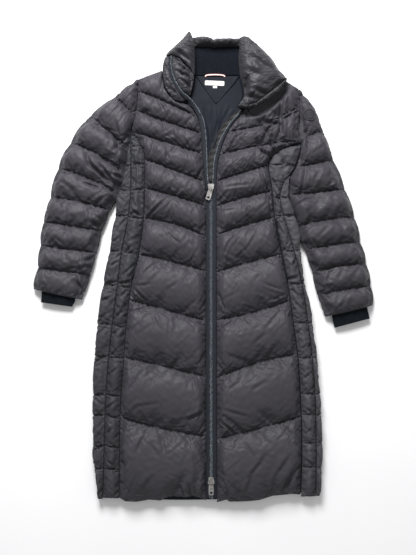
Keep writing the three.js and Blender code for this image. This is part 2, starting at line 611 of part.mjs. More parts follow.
quilted('collar_right', {
  across: [0, 0.2, 0.4, 0.6, 0.8, 1], edge: 34, line: 48, outSeam: collarOutline, inSeam: rollRight,
  rows: [
    { out: 630, in: 628, crest: 42, line: 38 }, { out: 612, in: 612, crest: 52 },
    { out: 591, in: 590, crest: 56, line: 52 },
    { out: 566, in: 514, crest: 50, edge: 38, line: 46,
      via: [[0.2, -93, 565], [0.4, -73, 559.5], [0.6, -60, 546.5], [0.8, -46, 532]] },
  ],
}, SHELL);

// The wearer's left collar end: one large puffed fold whose seamed edge stands over the front
const outlineCollarLeft = seam([
  { y: 618, x: 102 }, { y: 597, x: 125 }, { y: 576, x: 146 }, { y: 555, x: 165 }, { y: 530, x: 179 },
  { y: 516, x: 192 }, { y: 504, x: 200 },
]);
const rollLeft = seam([
  { y: 618, x: 81 }, { y: 590, x: 81 }, { y: 570, x: 79.5 }, { y: 542, x: 81 }, { y: 516, x: 83.5 },
  { y: 499, x: 87.5 }, { y: 480, x: 92 }, { y: 461, x: 92 }, { y: 448, x: 86 }, { y: 436, x: 79 },
]);
quilted('collar_left', {
  across: [0, 0.1, 0.3, 0.55, 0.78, 0.92, 1], edge: 34, line: 50,
  outSeam: outlineCollarLeft, inSeam: rollLeft,
  rows: [
    { out: 617, in: 617, crest: 50, line: 40, via: [[0.5, 92, 621]] },
    { out: 590, in: 588, crest: 58 }, { out: 553, in: 548, crest: 60 }, { out: 521, in: 508, crest: 56 },
    { out: 507, in: 472, crest: 53, line: 48, via: [[0.5, 147, 486]] },
    { out: 504, in: 436, crest: 50, edge: 40, line: 42,
      via: [[0.1, 190, 495.5], [0.3, 168, 478], [0.55, 138, 454.5], [0.78, 112, 436], [0.92, 92, 434.6]] },
  ],
}, SHELL);
quilted('collar_edge_left', {
  across: NARROW, edge: 41, line: 46,
  rows: [
    { out: [199.5, 502.5], in: [199, 496.5], crest: 47 }, { out: [176, 483.2], in: [181, 470], crest: 47 },
    { out: [147.5, 460], in: [152, 448.5], crest: 47 }, { out: [119.5, 438], in: [121, 429.5], crest: 47 },
    { out: [103, 433.4], in: [103, 425.5], crest: 47 }, { out: [79, 434.6], in: [74, 427], crest: 45 },
  ],
}, SHELL, 36);

// Back of the collar: shell band along the top, knit jersey below it
quilted('collar_band', {
  across: [0, 0.1, 0.3, 0.45, 0.52, 0.6, 0.8, 0.92, 1], edge: 24, line: 24,
  rows: [
    { out: [-39.8, 619.5], in: [80, 618], crest: 40,
      via: [[0.1, -24, 621.5], [0.3, -2, 621], [0.45, 8, 617], [0.52, 14, 612], [0.6, 21, 615],
        [0.8, 50, 615.5]] },
    { out: [-33.8, 597], in: [78.5, 597], crest: 40, via: [[0.3, 0, 599], [0.52, 15, 596], [0.8, 56, 599]] },
  ],
}, SHELL);
const SHEET_ACROSS = [0, 0.33, 0.67, 1];
const LINING_BASE = LOWER_TOP + GAP / 2;
const FACING_BASE = LINING_BASE + SHEET + GAP / 2;
const LABEL_BASE = FACING_BASE + SHEET + GAP / 2;
function sheet(name, rows, height, thickness, look) {
  const points = rows.map(({ y, from, to }) => SHEET_ACROSS.map((u) =>
    [THREE.MathUtils.lerp(from, to, u), y, height + thickness]));
  return place(name, slab(points, height), look);
}
sheet('collar_jersey', [
  { y: 595, from: -32, to: 78 }, { y: 570, from: -32, to: 77.5 }, { y: 545, from: -32, to: 79 },
  { y: 520.5, from: -32.5, to: 80 },
], LINING_BASE, JERSEY, KNIT);

// Inside of the neck: lining, V-shaped facing, wind flap, blank labels and hanger loop
sheet('lining', [
  { y: 518.4, from: -33, to: 81.5 }, { y: 500, from: -36, to: 85.5 }, { y: 480, from: -39.5, to: 90.5 },
  { y: 463, from: -45, to: 90.5 }, { y: 450, from: -46, to: 85 }, { y: 437, from: -44, to: 75 },
  { y: 434, from: -42, to: 77 },
  { y: 430.5, from: -39, to: 90 }, { y: 411, from: -28, to: 78.5 }, { y: 396, from: -22.4, to: 66 },
  { y: 381, from: -20, to: 55 }, { y: 355, from: -15.5, to: 42 }, { y: 336, from: -14.5, to: 35 },
  { y: 300, from: -12.2, to: 26 }, { y: 281, from: -11.2, to: 22.5 }, { y: 245, from: -7.6, to: 20 },
  { y: 215, from: -4, to: 20 },
], LINING_BASE, SHEET, INSIDE);
sheet('neck_facing', [
  { y: 518.4, from: -31.5, to: 81 }, { y: 500, from: -18.9, to: 69.5 }, { y: 472, from: 0.5, to: 44.5 },
  { y: 447, from: 18, to: 22 },
], FACING_BASE, SHEET, INSIDE);
sheet('wind_flap', [
  { y: 427, from: 78, to: 86.5 }, { y: 411, from: 57.5, to: 77 }, { y: 396, from: 44, to: 64.5 },
  { y: 381, from: 33, to: 53.5 }, { y: 355, from: 18.5, to: 40.5 }, { y: 336, from: 10.5, to: 33.5 },
  { y: 316, from: 4, to: 28.6 }, { y: 300, from: 0.5, to: 25 }, { y: 281, from: -1.5, to: 21.7 },
  { y: 240, from: -3, to: 19 },
], FACING_BASE, FLAP, SHELL);

function roundedShape(width, height, radius) {
  const [x, y] = [width / 2, height / 2];
  const shape = new THREE.Shape();
  shape.moveTo(-x + radius, -y);
  shape.lineTo(x - radius, -y);
  shape.absarc(x - radius, -y + radius, radius, -Math.PI / 2, 0);
  shape.lineTo(x, y - radius);
  shape.absarc(x - radius, y - radius, radius, 0, Math.PI / 2);
  shape.lineTo(-x + radius, y);
  shape.absarc(-x + radius, y - radius, radius, Math.PI / 2, Math.PI);
  shape.lineTo(-x, -y + radius);
  shape.absarc(-x + radius, -y + radius, radius, Math.PI, 1.5 * Math.PI);
  return shape;
}
function plate(shape, thickness) {
  return new THREE.ExtrudeGeometry(shape, { depth: thickness, bevelEnabled: false, curveSegments: 3 });
}
function label(name, width, height, corner, [x, y], degrees) {
  const mesh = place(name, plate(roundedShape(width, height, corner), LABEL), BLANK);
  mesh.position.set(x, y, LABEL_BASE);
  mesh.rotation.z = THREE.MathUtils.degToRad(degrees);
}
label('neck_label', 50, 13, 3, [17, 499], -2.5);
label('size_tab', 11, 6, 1, [18, 488.5], 0);

const loopPath = [
  [-9, 513, 19.4], [-8, 519, 19.6], [-3, 523.5, 19.8], [18, 524.5, 20.4], [38, 523, 19.8],
  [43.5, 518.5, 19.6], [45, 512.5, 19.4],
];
function strap(path, width, thickness) {
  const rings = path.map((point, i) => {
    const before = path[Math.max(i - 1, 0)];
    const after = path[Math.min(i + 1, path.length - 1)];
    const length = Math.hypot(after[0] - before[0], after[1] - before[1]);
    const across = [-(after[1] - before[1]) / length, (after[0] - before[0]) / length];
    const corner = (s, h) => [point[0] + across[0] * s, point[1] + across[1] * s, point[2] + h];
    const [w, h] = [width / 2, thickness / 2];
    return [corner(-w, -h), corner(w, -h), corner(w, h), corner(-w, h)];
  });
  return loft(rings, ([x, , z]) => [x, z]);
}
place('hanger_loop', strap(loopPath, LOOP_WIDTH, SHEET), BLANK);

// Zip: each half is a tape with its half chain, closed between the two sliders
function zipHalf(name, rows, side) {
  const rings = rows.map(({ y, chain, tape, z = CHAIN_HEIGHT }) => {
    const tips = chain + side * CHAIN_HALF;
    const roots = chain - side * CHAIN_HALF;
    const [low, high] = [z - CHAIN_HALF, z + CHAIN_HALF];
    return [
      [tips, y, low], [tips, y, high], [roots, y, high], [roots, y, z + TAPE_HALF],
      [tape, y, z + TAPE_HALF], [tape, y, z - TAPE_HALF], [roots, y, z - TAPE_HALF], [roots, y, low],
    ];
  });
  return place(name, loft(rings, ([x, , z]) => [x, z]), TAPE);
}
zipHalf('zip_right', [
  { y: 560, chain: -93, tape: -99, z: 44 }, { y: 537, chain: -94, tape: -100, z: 44 },
  { y: 511, chain: -89, tape: -96, z: 43.5 }, { y: 490, chain: -80, tape: -88, z: 42.5 },
  { y: 469, chain: -66, tape: -75, z: 40.5 }, { y: 454, chain: -49, tape: -61, z: 37.5 },
  { y: 441, chain: -35.5, tape: -46.4, z: 31 }, { y: 420, chain: -21, tape: -32.9, z: 25.5 },
  { y: 396, chain: -11, tape: -22.6, z: 23.5 }, { y: 355, chain: -5.5, tape: -16 },
  { y: 293, chain: -3, tape: -12 }, { y: 245, chain: -1, tape: -8.2 }, { y: 234, chain: 2.4, tape: -6.4 },
  { y: 227, chain: 3.8, tape: -5.3 }, { y: 219, chain: 5.35, tape: -4.4 },
  { y: 150, chain: 5.35, tape: -4.4 }, { y: -484, chain: 5.35, tape: -4.4 },
  { y: -491, chain: 3.9, tape: -4.4 }, { y: -532, chain: 3.9, tape: -4.4 },
], 1);
zipHalf('zip_left', [
  { y: 427, chain: 83.5, tape: 89, z: 23.5 }, { y: 413, chain: 75, tape: 80.5 },
  { y: 400, chain: 63, tape: 69.5 }, { y: 381, chain: 49.5, tape: 56 },
  { y: 358, chain: 36.5, tape: 44.6 }, { y: 336, chain: 27, tape: 36 },
  { y: 300, chain: 17.5, tape: 26.4 }, { y: 281, chain: 15, tape: 22.9 },
  { y: 245, chain: 13, tape: 20.6 },
  { y: 227, chain: 11.3, tape: 20.4 }, { y: 219, chain: 9.65, tape: 20.4 },
  { y: 150, chain: 9.65, tape: 20.4 }, { y: -484, chain: 9.65, tape: 20.4 },
  { y: -491, chain: 11.1, tape: 20.4 }, { y: -532, chain: 11.1, tape: 20.4 },
], -1);

// Sliders: an upper and a lower plate joined by the post that parts the chain, with a bail on top
function merged(geometry) {
  const bare = geometry.index ? geometry : mergeVertices(geometry);
  bare.deleteAttribute('normal');
  bare.deleteAttribute('uv');
  const whole = mergeVertices(bare);
  return new wasm.Manifold(new wasm.Mesh({
    numProp: 3,
    vertProperties: Float32Array.from(whole.attributes.position.array),
    triVerts: Uint32Array.from(whole.index.array),
  }));
}
function fromManifold(manifold) {
  const mesh = manifold.getMesh();
  const geometry = new THREE.BufferGeometry();
  geometry.setAttribute('position', new THREE.BufferAttribute(Float32Array.from(mesh.vertProperties), 3));
  geometry.setIndex(new THREE.BufferAttribute(Uint32Array.from(mesh.triVerts), 1));
  geometry.computeVertexNormals();
  return geometry;
}
function block(x, y, z) {
  const geometry = new THREE.BoxGeometry(x[1] - x[0], y[1] - y[0], z[1] - z[0]);
  geometry.translate((x[0] + x[1]) / 2, (y[0] + y[1]) / 2, (z[0] + z[1]) / 2);
  return merged(geometry);
}
const SLIDER = {
  front: -5, rear: 12, wide: 8, slim: 5.75, nose: 2, tail: 3, plateLow: [18.2, 19.8], plateHigh: [25, 27],
};
const POST = { half: 1.2, above: [7, 10.5], below: [-4, -1], sink: 0.5 };
const BAIL = { half: 1.5, inner: 3.6, outer: 5, low: 1.4, high: 2.8, cut: 2.5 };
function slider(name, bar, opensUp) {
  const { front, rear, wide, slim, nose, tail, plateLow, plateHigh } = SLIDER;
  const [head, foot] = opensUp ? [wide, slim] : [slim, wide];
  const outline = new THREE.Shape();
  outline.moveTo(-foot, front + nose);
  outline.quadraticCurveTo(-foot, front, -foot + nose, front);
  outline.lineTo(foot - nose, front);
  outline.quadraticCurveTo(foot, front, foot, front + nose);
  outline.lineTo(head, rear - tail);
  outline.quadraticCurveTo(head, rear, head - tail, rear);
  outline.lineTo(-head + tail, rear);
  outline.quadraticCurveTo(-head, rear, -head, rear - tail);
  const shelf = ([low, high]) => merged(plate(outline, high - low).translate(0, 0, low));
  const heights = [plateLow[0] + POST.sink, plateHigh[1] - POST.sink];
  const post = block([-POST.half, POST.half], opensUp ? POST.above : POST.below, heights);
  const { half, inner, outer, low, high, cut } = BAIL;
  const arch = block([-half, half], [-outer, outer], [plateHigh[1] - POST.sink, BAR_HEIGHT + high]);
  const under = block([-cut, cut], [-inner, inner], [plateHigh[1], BAR_HEIGHT + low]);
  const body = shelf(plateLow).add(shelf(plateHigh)).add(post).add(arch.subtract(under));
  const mesh = place(name, fromManifold(body), METAL);
  mesh.position.set(ZIP_CENTRE, bar, 0);
}
slider('slider_top', SLIDER_TOP_BAR, true);
slider('slider_bottom', SLIDER_BOTTOM_BAR, false);

// Pull tabs: plates whose top bar lies under the bail, each with an eye at the bail and one near its end
const TAB = { neck: 5.5, neckFrom: -8, wideFrom: -13, corner: 2.5 };
const EYE = { half: 4, low: -6.2, high: -0.8 };
const SLOT = { half: 2.8, low: 3, high: 8 };
function pullTab(name, bar, tilt) {
  const top = PULL_THICK / 2;
  const end = top - PULL_LENGTH;
  const half = PULL_WIDTH / 2;
  const { neck, neckFrom, wideFrom, corner } = TAB;
  const outline = new THREE.Shape();
  outline.moveTo(-neck, top);
  outline.lineTo(-neck, neckFrom);
  outline.lineTo(-half, wideFrom);
  outline.lineTo(-half, end + corner);
  outline.quadraticCurveTo(-half, end, -half + corner, end);
  outline.lineTo(half - corner, end);
  outline.quadraticCurveTo(half, end, half, end + corner);
  outline.lineTo(half, wideFrom);
  outline.lineTo(neck, neckFrom);
  outline.lineTo(neck, top);
  const hole = (x, from, to) => new THREE.Path().setFromPoints(
    [[-x, from], [x, from], [x, to], [-x, to]].map(([a, b]) => new THREE.Vector2(a, b)));
  outline.holes.push(hole(EYE.half, EYE.low, EYE.high), hole(SLOT.half, end + SLOT.low, end + SLOT.high));
  const mesh = place(name, plate(outline, PULL_THICK), METAL);
  mesh.position.set(ZIP_CENTRE, bar, BAR_HEIGHT - PULL_THICK / 2);
  mesh.rotation.z = -tilt;
}
pullTab('pull_top', SLIDER_TOP_BAR, PULL_TILT);
pullTab('pull_bottom', SLIDER_BOTTOM_BAR, 0);

// Pocket edges, raised from the side panels' points along the princess seams
const WELT = { across: [0.8, 0.9, 0.98], steps: [0, 0.33, 0.67], low: 1.6, high: 3.6 };
function welt(name, panel, pillows) {
  const rings = pillows.flatMap(([k, from, to]) => WELT.steps.map((part) => {
    const t = THREE.MathUtils.lerp(from, to, part);
    const raised = (lift) => WELT.across.map((u) => {
      const [x, y, z] = onPanel(panel, k, t, u);
      return [x, y, z + lift];
    });
    return [...raised(WELT.low), ...raised(WELT.high).reverse()];
  }));
  return place(name, loft(rings, ([x, , z]) => [x, z]), SHELL);
}
welt('pocket_welt_right', sideFrontRight, [[4, 0.03, 1], [5, 0, 0.62]]);
welt('pocket_welt_left', sideFrontLeft, [[4, 0.12, 1], [5, 0, 0.72]]);

// Plain round patch on the wearer's left sleeve, made from the sleeve's own height
// Each ring is its radius and how far it stands over the sleeve, from below the middle round to above it
const BADGE_SIDES = 20;
const BADGE_RINGS = [
  { radius: 0.6, lift: 1.9 }, { radius: BADGE_RADIUS / 2, lift: 2 }, { radius: BADGE_RADIUS, lift: 1.4 },
  { radius: BADGE_RADIUS, lift: 2.8 }, { radius: BADGE_RADIUS - BADGE_RIM / 2, lift: 3.4 },
  { radius: BADGE_RADIUS - BADGE_RIM, lift: 2.7 }, { radius: BADGE_RADIUS / 2, lift: 3.2 },
  { radius: 0.6, lift: 3.1 },
];
const ABOVE = 200;
const ray = new THREE.Raycaster();
function heightOn(mesh, x, y) {
  ray.set(new THREE.Vector3(x, y, ABOVE), new THREE.Vector3(0, 0, -1));
  return ray.intersectObject(mesh)[0].point.z;
}
function badge(name, mesh, [cx, cy]) {
  const rings = BADGE_RINGS.map(({ radius, lift }) => Array.from({ length: BADGE_SIDES }, (_, i) => {
    const turn = (2 * Math.PI * i) / BADGE_SIDES;
    const [x, y] = [cx + radius * Math.cos(turn), cy + radius * Math.sin(turn)];
    return [x, y, heightOn(mesh, x, y) + lift];
  }));
  return place(name, loft(rings, ([x, y]) => [x, y]), PATCH);
}
sleeveLeftMesh.updateMatrixWorld(true);
badge('sleeve_badge', sleeveLeftMesh, [257, 409]);

// The origin is the centre of the coat's box, on the surface
const box = new THREE.Box3().setFromObject(coat);
coat.position.set(-(box.min.x + box.max.x) / 2, -(box.min.y + box.max.y) / 2, 0);

export default coat;
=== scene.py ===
"""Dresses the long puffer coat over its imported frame: quilted padding, knit, lining, zip and trim."""

import logging
import math
from collections.abc import Callable, Iterable, Sequence
from dataclasses import dataclass, field
from enum import Enum

import bpy
import numpy as np
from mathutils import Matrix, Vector
from mathutils.bvhtree import BVHTree


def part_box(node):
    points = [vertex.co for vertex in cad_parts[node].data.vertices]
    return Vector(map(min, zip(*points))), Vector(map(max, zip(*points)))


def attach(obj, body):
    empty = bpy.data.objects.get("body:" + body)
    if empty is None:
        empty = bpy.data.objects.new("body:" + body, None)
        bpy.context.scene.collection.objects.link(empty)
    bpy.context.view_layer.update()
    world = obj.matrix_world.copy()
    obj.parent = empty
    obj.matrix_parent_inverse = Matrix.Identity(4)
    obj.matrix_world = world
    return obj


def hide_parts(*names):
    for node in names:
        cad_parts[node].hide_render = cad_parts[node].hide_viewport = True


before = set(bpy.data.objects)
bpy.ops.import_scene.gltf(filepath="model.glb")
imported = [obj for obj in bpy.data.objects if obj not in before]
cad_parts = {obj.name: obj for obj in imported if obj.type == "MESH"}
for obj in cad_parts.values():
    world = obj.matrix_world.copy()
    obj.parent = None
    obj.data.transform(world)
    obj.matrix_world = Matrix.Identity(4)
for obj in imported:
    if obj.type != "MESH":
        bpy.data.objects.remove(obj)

LOG = logging.getLogger("puffer_coat")
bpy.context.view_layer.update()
MM = 0.001
BODY = "garment"
SEED = 11

# Sizes and places in millimetres, as in all the tables

GAP = 0.6
UPPER_BASE = 16.0
LOWER_TOP = 15.4
LIP = 12.0
TUBE_MIDDLE = 11.5
SLEEVE_TOP = 24.0
RIDGE_LIMIT = 2.6
BADGE_PLACE = (257.0, 409.0)
BADGE_RADIUS = 15.5
LABEL_PLACE = (17.0, 499.0)

Curve = Callable[[float], float]
Place = tuple[float, float]


def table_origin() -> np.ndarray:
    """Where the tables' zero lies in the frame, in metres, read from the neck label's box."""
    low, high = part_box("neck_label")
    middle = np.array([(low.x + high.x) / 2, (low.y + high.y) / 2])
    return np.array([*(middle - np.array(LABEL_PLACE) * MM), 0.0])


ORIGIN = table_origin()


class Slot(Enum):
    """The record's material slots."""

    SHELL = "shell"
    SIDE = "shell_side"
    INSIDE = "inside"
    KNIT = "knit"
    TAPE = "zip_tape"
    METAL = "metal"
    BLANK = "blank"
    PATCH = "patch"


class Closing(Enum):
    """How a grid of cloth is closed into a solid piece."""

    DOWN = "down"
    UP = "up"
    RING = "ring"


# Finishes

class Shader:
    """A material whose nodes are added one at a time around its surface shader."""

    def __init__(self, name: str) -> None:
        """Starts an empty material.

        Args:
            name: The material's name.
        """
        self.material = bpy.data.materials.new(name)
        self.material.use_nodes = True
        self.tree = self.material.node_tree
        self.surface = self.tree.nodes["Principled BSDF"]
        self.object_space = self.add("ShaderNodeTexCoord").outputs["Object"]

    def add(self, kind: str, **settings: object) -> bpy.types.Node:
        """Adds one node and sets its options."""
        node = self.tree.nodes.new(kind)
        for name, value in settings.items():
            setattr(node, name, value)
        return node

    def link(self, source: bpy.types.NodeSocket, target: bpy.types.NodeSocket) -> None:
        """Joins two sockets."""
        self.tree.links.new(source, target)

    def stretched(self, scale: tuple[float, float, float]) -> bpy.types.NodeSocket:
        """The object's own coordinates, stretched along its axes."""
        mapping = self.add("ShaderNodeMapping")
        mapping.inputs["Scale"].default_value = scale
        self.link(self.object_space, mapping.inputs["Vector"])
        return mapping.outputs["Vector"]

    def noise(self, scale: float, detail: float = 2.0, twist: float = 0.0,
              space: bpy.types.NodeSocket | None = None) -> bpy.types.NodeSocket:
        """A soft random pattern.

        Args:
            scale: Spots in a metre.
            detail: How many finer layers it has.
            twist: How much it is bent about.
            space: The coordinates it uses, or none for the object's own.

        Returns:
            Its value.
        """
        node = self.add("ShaderNodeTexNoise")
        node.inputs["Scale"].default_value = scale
        node.inputs["Detail"].default_value = detail
        node.inputs["Distortion"].default_value = twist
        self.link(space or self.object_space, node.inputs["Vector"])
        return node.outputs["Fac"]

    def waves(self, scale: float, direction: str, twist: float = 0.0) -> bpy.types.NodeSocket:
        """Straight ribs along one axis, as threads or knit columns have them."""
        node = self.add("ShaderNodeTexWave", bands_direction=direction)
        node.inputs["Scale"].default_value = scale
        node.inputs["Distortion"].default_value = twist
        self.link(self.object_space, node.inputs["Vector"])
        return node.outputs["Fac"]

    def math(self, operation: str, first: bpy.types.NodeSocket,
             second: bpy.types.NodeSocket | float = 0.0) -> bpy.types.NodeSocket:
        """Works out one sum or product of two varying values."""
        node = self.add("ShaderNodeMath", operation=operation)
        self.link(first, node.inputs[0])
        if isinstance(second, float):
            node.inputs[1].default_value = second
        else:
            self.link(second, node.inputs[1])
        return node.outputs["Value"]

    def creased(self, pattern: bpy.types.NodeSocket) -> bpy.types.NodeSocket:
        """Turns a soft pattern into thin folds, where it crosses its middle."""
        return self.math("ABSOLUTE", self.math("SUBTRACT", pattern, 0.5))

    def spread(self, pattern: bpy.types.NodeSocket, low: float, high: float) -> bpy.types.NodeSocket:
        """Moves a pattern's middle stretch to a new range."""
        node = self.add("ShaderNodeMapRange")
        for name, value in {"From Min": 0.3, "From Max": 0.7, "To Min": low, "To Max": high}.items():
            node.inputs[name].default_value = value
        self.link(pattern, node.inputs["Value"])
        return node.outputs["Result"]

    def paint(self, pattern: bpy.types.NodeSocket, dark: Sequence[float], light: Sequence[float],
              edges: tuple[float, float] = (0.3, 0.7)) -> None:
        """Colours the surface between two tones by a pattern.

        Args:
            pattern: The pattern.
            dark: The tone where it is low.
            light: The tone where it is high.
            edges: The pattern's values at which both tones are reached.
        """
        node = self.add("ShaderNodeValToRGB")
        node.color_ramp.elements[0].position = edges[0]
        node.color_ramp.elements[1].position = edges[1]
        node.color_ramp.elements[0].color = (*dark, 1.0)
        node.color_ramp.elements[1].color = (*light, 1.0)
        self.link(pattern, node.inputs["Fac"])
        self.link(node.outputs["Color"], self.surface.inputs["Base Color"])

    def bumps(self, layers: Sequence[tuple[bpy.types.NodeSocket, float, float]]) -> None:
        """Raises the surface by several patterns.

        Args:
            layers: Each pattern with its strength and its height in metres, from the coarsest on.
        """
        normal = None
        for pattern, strength, height in layers:
            node = self.add("ShaderNodeBump")
            node.inputs["Strength"].default_value = strength
            node.inputs["Distance"].default_value = height
            self.link(pattern, node.inputs["Height"])
            if normal is not None:
                self.link(normal, node.inputs["Normal"])
            normal = node.outputs["Normal"]
        self.link(normal, self.surface.inputs["Normal"])

    def constant(self, **sockets: float) -> None:
        """Sets values that are the same all over, on the surface shader's own sockets."""
        for name, value in sockets.items():
            self.surface.inputs[name.replace("_", " ")].default_value = value


@dataclass(frozen=True)
class Finish:
    """What every finish has: a name, a record slot and two tones of its colour."""

    name: str
    slot: Slot
    dark: tuple[float, float, float]
    light: tuple[float, float, float]

    def material(self) -> bpy.types.Material:
        """Returns this finish's material, made when it is first asked for."""
        known = bpy.data.materials.get(self.name)
        return known or self.mixed()

    def mixed(self) -> bpy.types.Material:
        """Builds the material's nodes."""
        raise NotImplementedError


@dataclass(frozen=True)
class Nylon(Finish):
    """Thin woven nylon with a satin face and fine crumples."""

    roughness: float = 0.48
    sheen: float = 0.04
    crumple: float = 0.16
    gloss: float = 0.3

    def mixed(self) -> bpy.types.Material:
        """Builds woven threads, fine crumples and cloudy tones."""
        shader = Shader(self.name)
        shader.constant(Sheen_Weight=self.sheen, Sheen_Roughness=0.4, Specular_IOR_Level=self.gloss)
        shader.paint(shader.noise(14.0, 3.0), self.dark, self.light)
        worn = shader.spread(shader.noise(45.0, 3.0), self.roughness - 0.05, self.roughness + 0.07)
        shader.link(worn, shader.surface.inputs["Roughness"])
        folds = shader.creased(shader.noise(24.0, 1.5, 0.5, shader.stretched((1.0, 0.55, 1.0))))
        fine = shader.creased(shader.noise(85.0, 2.0, 0.4, shader.stretched((1.0, 0.6, 1.0))))
        threads = shader.math("ADD", shader.waves(420.0, "X", 0.6), shader.waves(420.0, "Y", 0.6))
        shader.bumps([(folds, self.crumple, 0.004), (fine, self.crumple, 0.001), (threads, 0.1, 0.0001)])
        return shader.material


@dataclass(frozen=True)
class Knit(Finish):
    """Soft knitted cloth with stitch columns."""

    columns: float = 150.0
    direction: str = "X"

    def mixed(self) -> bpy.types.Material:
        """Builds stitch columns, cross loops and fuzz."""
        shader = Shader(self.name)
        shader.constant(Roughness=0.95, Sheen_Weight=0.03, Sheen_Roughness=0.6, Specular_IOR_Level=0.06)
        shader.paint(shader.noise(140.0, 5.0), self.dark, self.light)
        columns = shader.waves(self.columns, self.direction, 1.0)
        loops = shader.waves(self.columns * 1.6, "Y", 2.5)
        fuzz = shader.noise(900.0, 4.0)
        shader.bumps([(columns, 0.6, 0.0008), (loops, 0.35, 0.0005), (fuzz, 0.3, 0.0003)])
        return shader.material


@dataclass(frozen=True)
class Woven(Finish):
    """Dense woven tape or label cloth."""

    roughness: float = 0.75
    threads: float = 600.0

    def mixed(self) -> bpy.types.Material:
        """Builds crossing threads over slightly uneven colour."""
        shader = Shader(self.name)
        shader.constant(Roughness=self.roughness, Sheen_Weight=0.02, Specular_IOR_Level=0.2)
        shader.paint(shader.noise(220.0, 4.0), self.dark, self.light)
        ribs = shader.math("ADD", shader.waves(self.threads, "X", 0.3), shader.waves(self.threads, "Y", 0.3))
        shader.bumps([(ribs, 0.5, 0.0002), (shader.noise(500.0, 3.0), 0.2, 0.0002)])
        return shader.material


@dataclass(frozen=True)
class Metal(Finish):
    """Cast and lightly brushed metal, with a cloudy, uneven tone."""

    roughness: float = 0.3

    def mixed(self) -> bpy.types.Material:
        """Builds fine brush marks and cloudy wear."""
        shader = Shader(self.name)
        shader.constant(Metallic=1.0)
        shader.paint(shader.noise(160.0, 3.0), self.dark, self.light)
        marks = shader.noise(500.0, 2.0, 0.0, shader.stretched((1.0, 0.08, 1.0)))
        shader.link(shader.spread(marks, self.roughness - 0.07, self.roughness + 0.1),
                    shader.surface.inputs["Roughness"])
        shader.bumps([(marks, 0.15, 0.0001), (shader.noise(240.0, 4.0), 0.1, 0.0002)])
        return shader.material


@dataclass(frozen=True)
class Moulded(Finish):
    """Moulded plastic, such as the zip's teeth."""

    roughness: float = 0.35
    mottle: float = 90.0

    def mixed(self) -> bpy.types.Material:
        """Builds a slightly uneven smooth surface."""
        shader = Shader(self.name)
        shader.constant(Specular_IOR_Level=0.6)
        shader.paint(shader.noise(self.mottle, 3.0), self.dark, self.light, (0.42, 0.58))
        shader.link(shader.spread(shader.noise(300.0, 2.0), self.roughness - 0.05, self.roughness + 0.1),
                    shader.surface.inputs["Roughness"])
        shader.bumps([(shader.noise(700.0, 3.0), 0.15, 0.0001)])
        return shader.material


@dataclass(frozen=True)
class Paper(Finish):
    """The pale surface that the coat lies on."""

    def mixed(self) -> bpy.types.Material:
        """Builds a matt surface with the faintest unevenness."""
        shader = Shader(self.name)
        shader.constant(Roughness=0.95, Specular_IOR_Level=0.1)
        shader.paint(shader.noise(3.0, 2.0), self.dark, self.light)
        return shader.material


SHELL = Nylon("shell_nylon", Slot.SHELL, (0.039, 0.0370, 0.0440), (0.045, 0.0428, 0.0503), 0.50, 0.03,
              0.06, 0.15)
SATIN = Nylon("collar_nylon", Slot.SHELL, (0.029, 0.0283, 0.0335), (0.036, 0.0350, 0.0410), 0.46, 0.03,
              0.06, 0.18)
SIDE = Nylon("side_nylon", Slot.SIDE, (0.035, 0.0350, 0.0405), (0.041, 0.0412, 0.0475), 0.52, 0.03, 0.07,
             0.13)
# A lighter copy of the side cloth for the wearer's left side panels: painted light.
SIDE_LIT_LEFT = Nylon("side_nylon_left", Slot.SIDE, (0.047, 0.0465, 0.0535), (0.055, 0.0545, 0.0625), 0.52,
                  0.03, 0.07, 0.13)
LINING = Nylon("lining_cloth", Slot.INSIDE, (0.0085, 0.0102, 0.0150), (0.0125, 0.0150, 0.0215), 0.5,
               0.02, 0.05, 0.05)
# The wind flap's shell cloth, painted near-black: the flap is real, its dark tone is painted shade of the gap behind
# the zip.
FLAP_SHADE = Nylon("flap_nylon_shade", Slot.SHELL, (0.009, 0.0085, 0.009), (0.013, 0.0125, 0.0135), 0.5, 0.0, 0.1, 0.2)
# Shell cloth for the pocket welts, painted near-black: painted shade of the pocket slit.
POCKET_SHADE = Nylon("pocket_nylon_shade", Slot.SHELL, (0.008, 0.009, 0.013), (0.012, 0.0135, 0.018), 0.55, 0.0, 0.1,
               0.15)
SEWING = Woven("sewing_thread", Slot.SHELL, (0.010, 0.010, 0.013), (0.016, 0.016, 0.020), 0.7)
CUFF_KNIT = Knit("cuff_knit", Slot.KNIT, (0.003, 0.005, 0.008), (0.007, 0.010, 0.014), 260.0)
JERSEY_KNIT = Knit("jersey_knit", Slot.KNIT, (0.003, 0.0045, 0.0085), (0.0058, 0.0082, 0.0138), 380.0)
ZIP_TAPE = Woven("zip_tape_cloth", Slot.TAPE, (0.013, 0.016, 0.022), (0.019, 0.022, 0.029))
ZIP_TEETH = Moulded("zip_teeth", Slot.TAPE, (0.04, 0.055, 0.07), (0.27, 0.31, 0.35), 0.3, 380.0)
ZIP_METAL = Metal("zip_metal", Slot.METAL, (0.20, 0.195, 0.185), (0.40, 0.39, 0.38), 0.34)
LABEL_CLOTH = Woven("label_cloth", Slot.BLANK, (0.66, 0.65, 0.63), (0.76, 0.75, 0.73))
LOOP_CREAM = Woven("loop_cream", Slot.BLANK, (0.62, 0.60, 0.56), (0.74, 0.72, 0.68))
LOOP_RED = Woven("loop_edge", Slot.BLANK, (0.30, 0.045, 0.05), (0.40, 0.07, 0.07))
PATCH = Woven("round_patch", Slot.PATCH, (0.027, 0.0265, 0.031), (0.034, 0.0335, 0.039))
PAPER = Paper("pale_surface", Slot.BLANK, (0.86, 0.86, 0.87), (0.88, 0.88, 0.89))


# Meshes

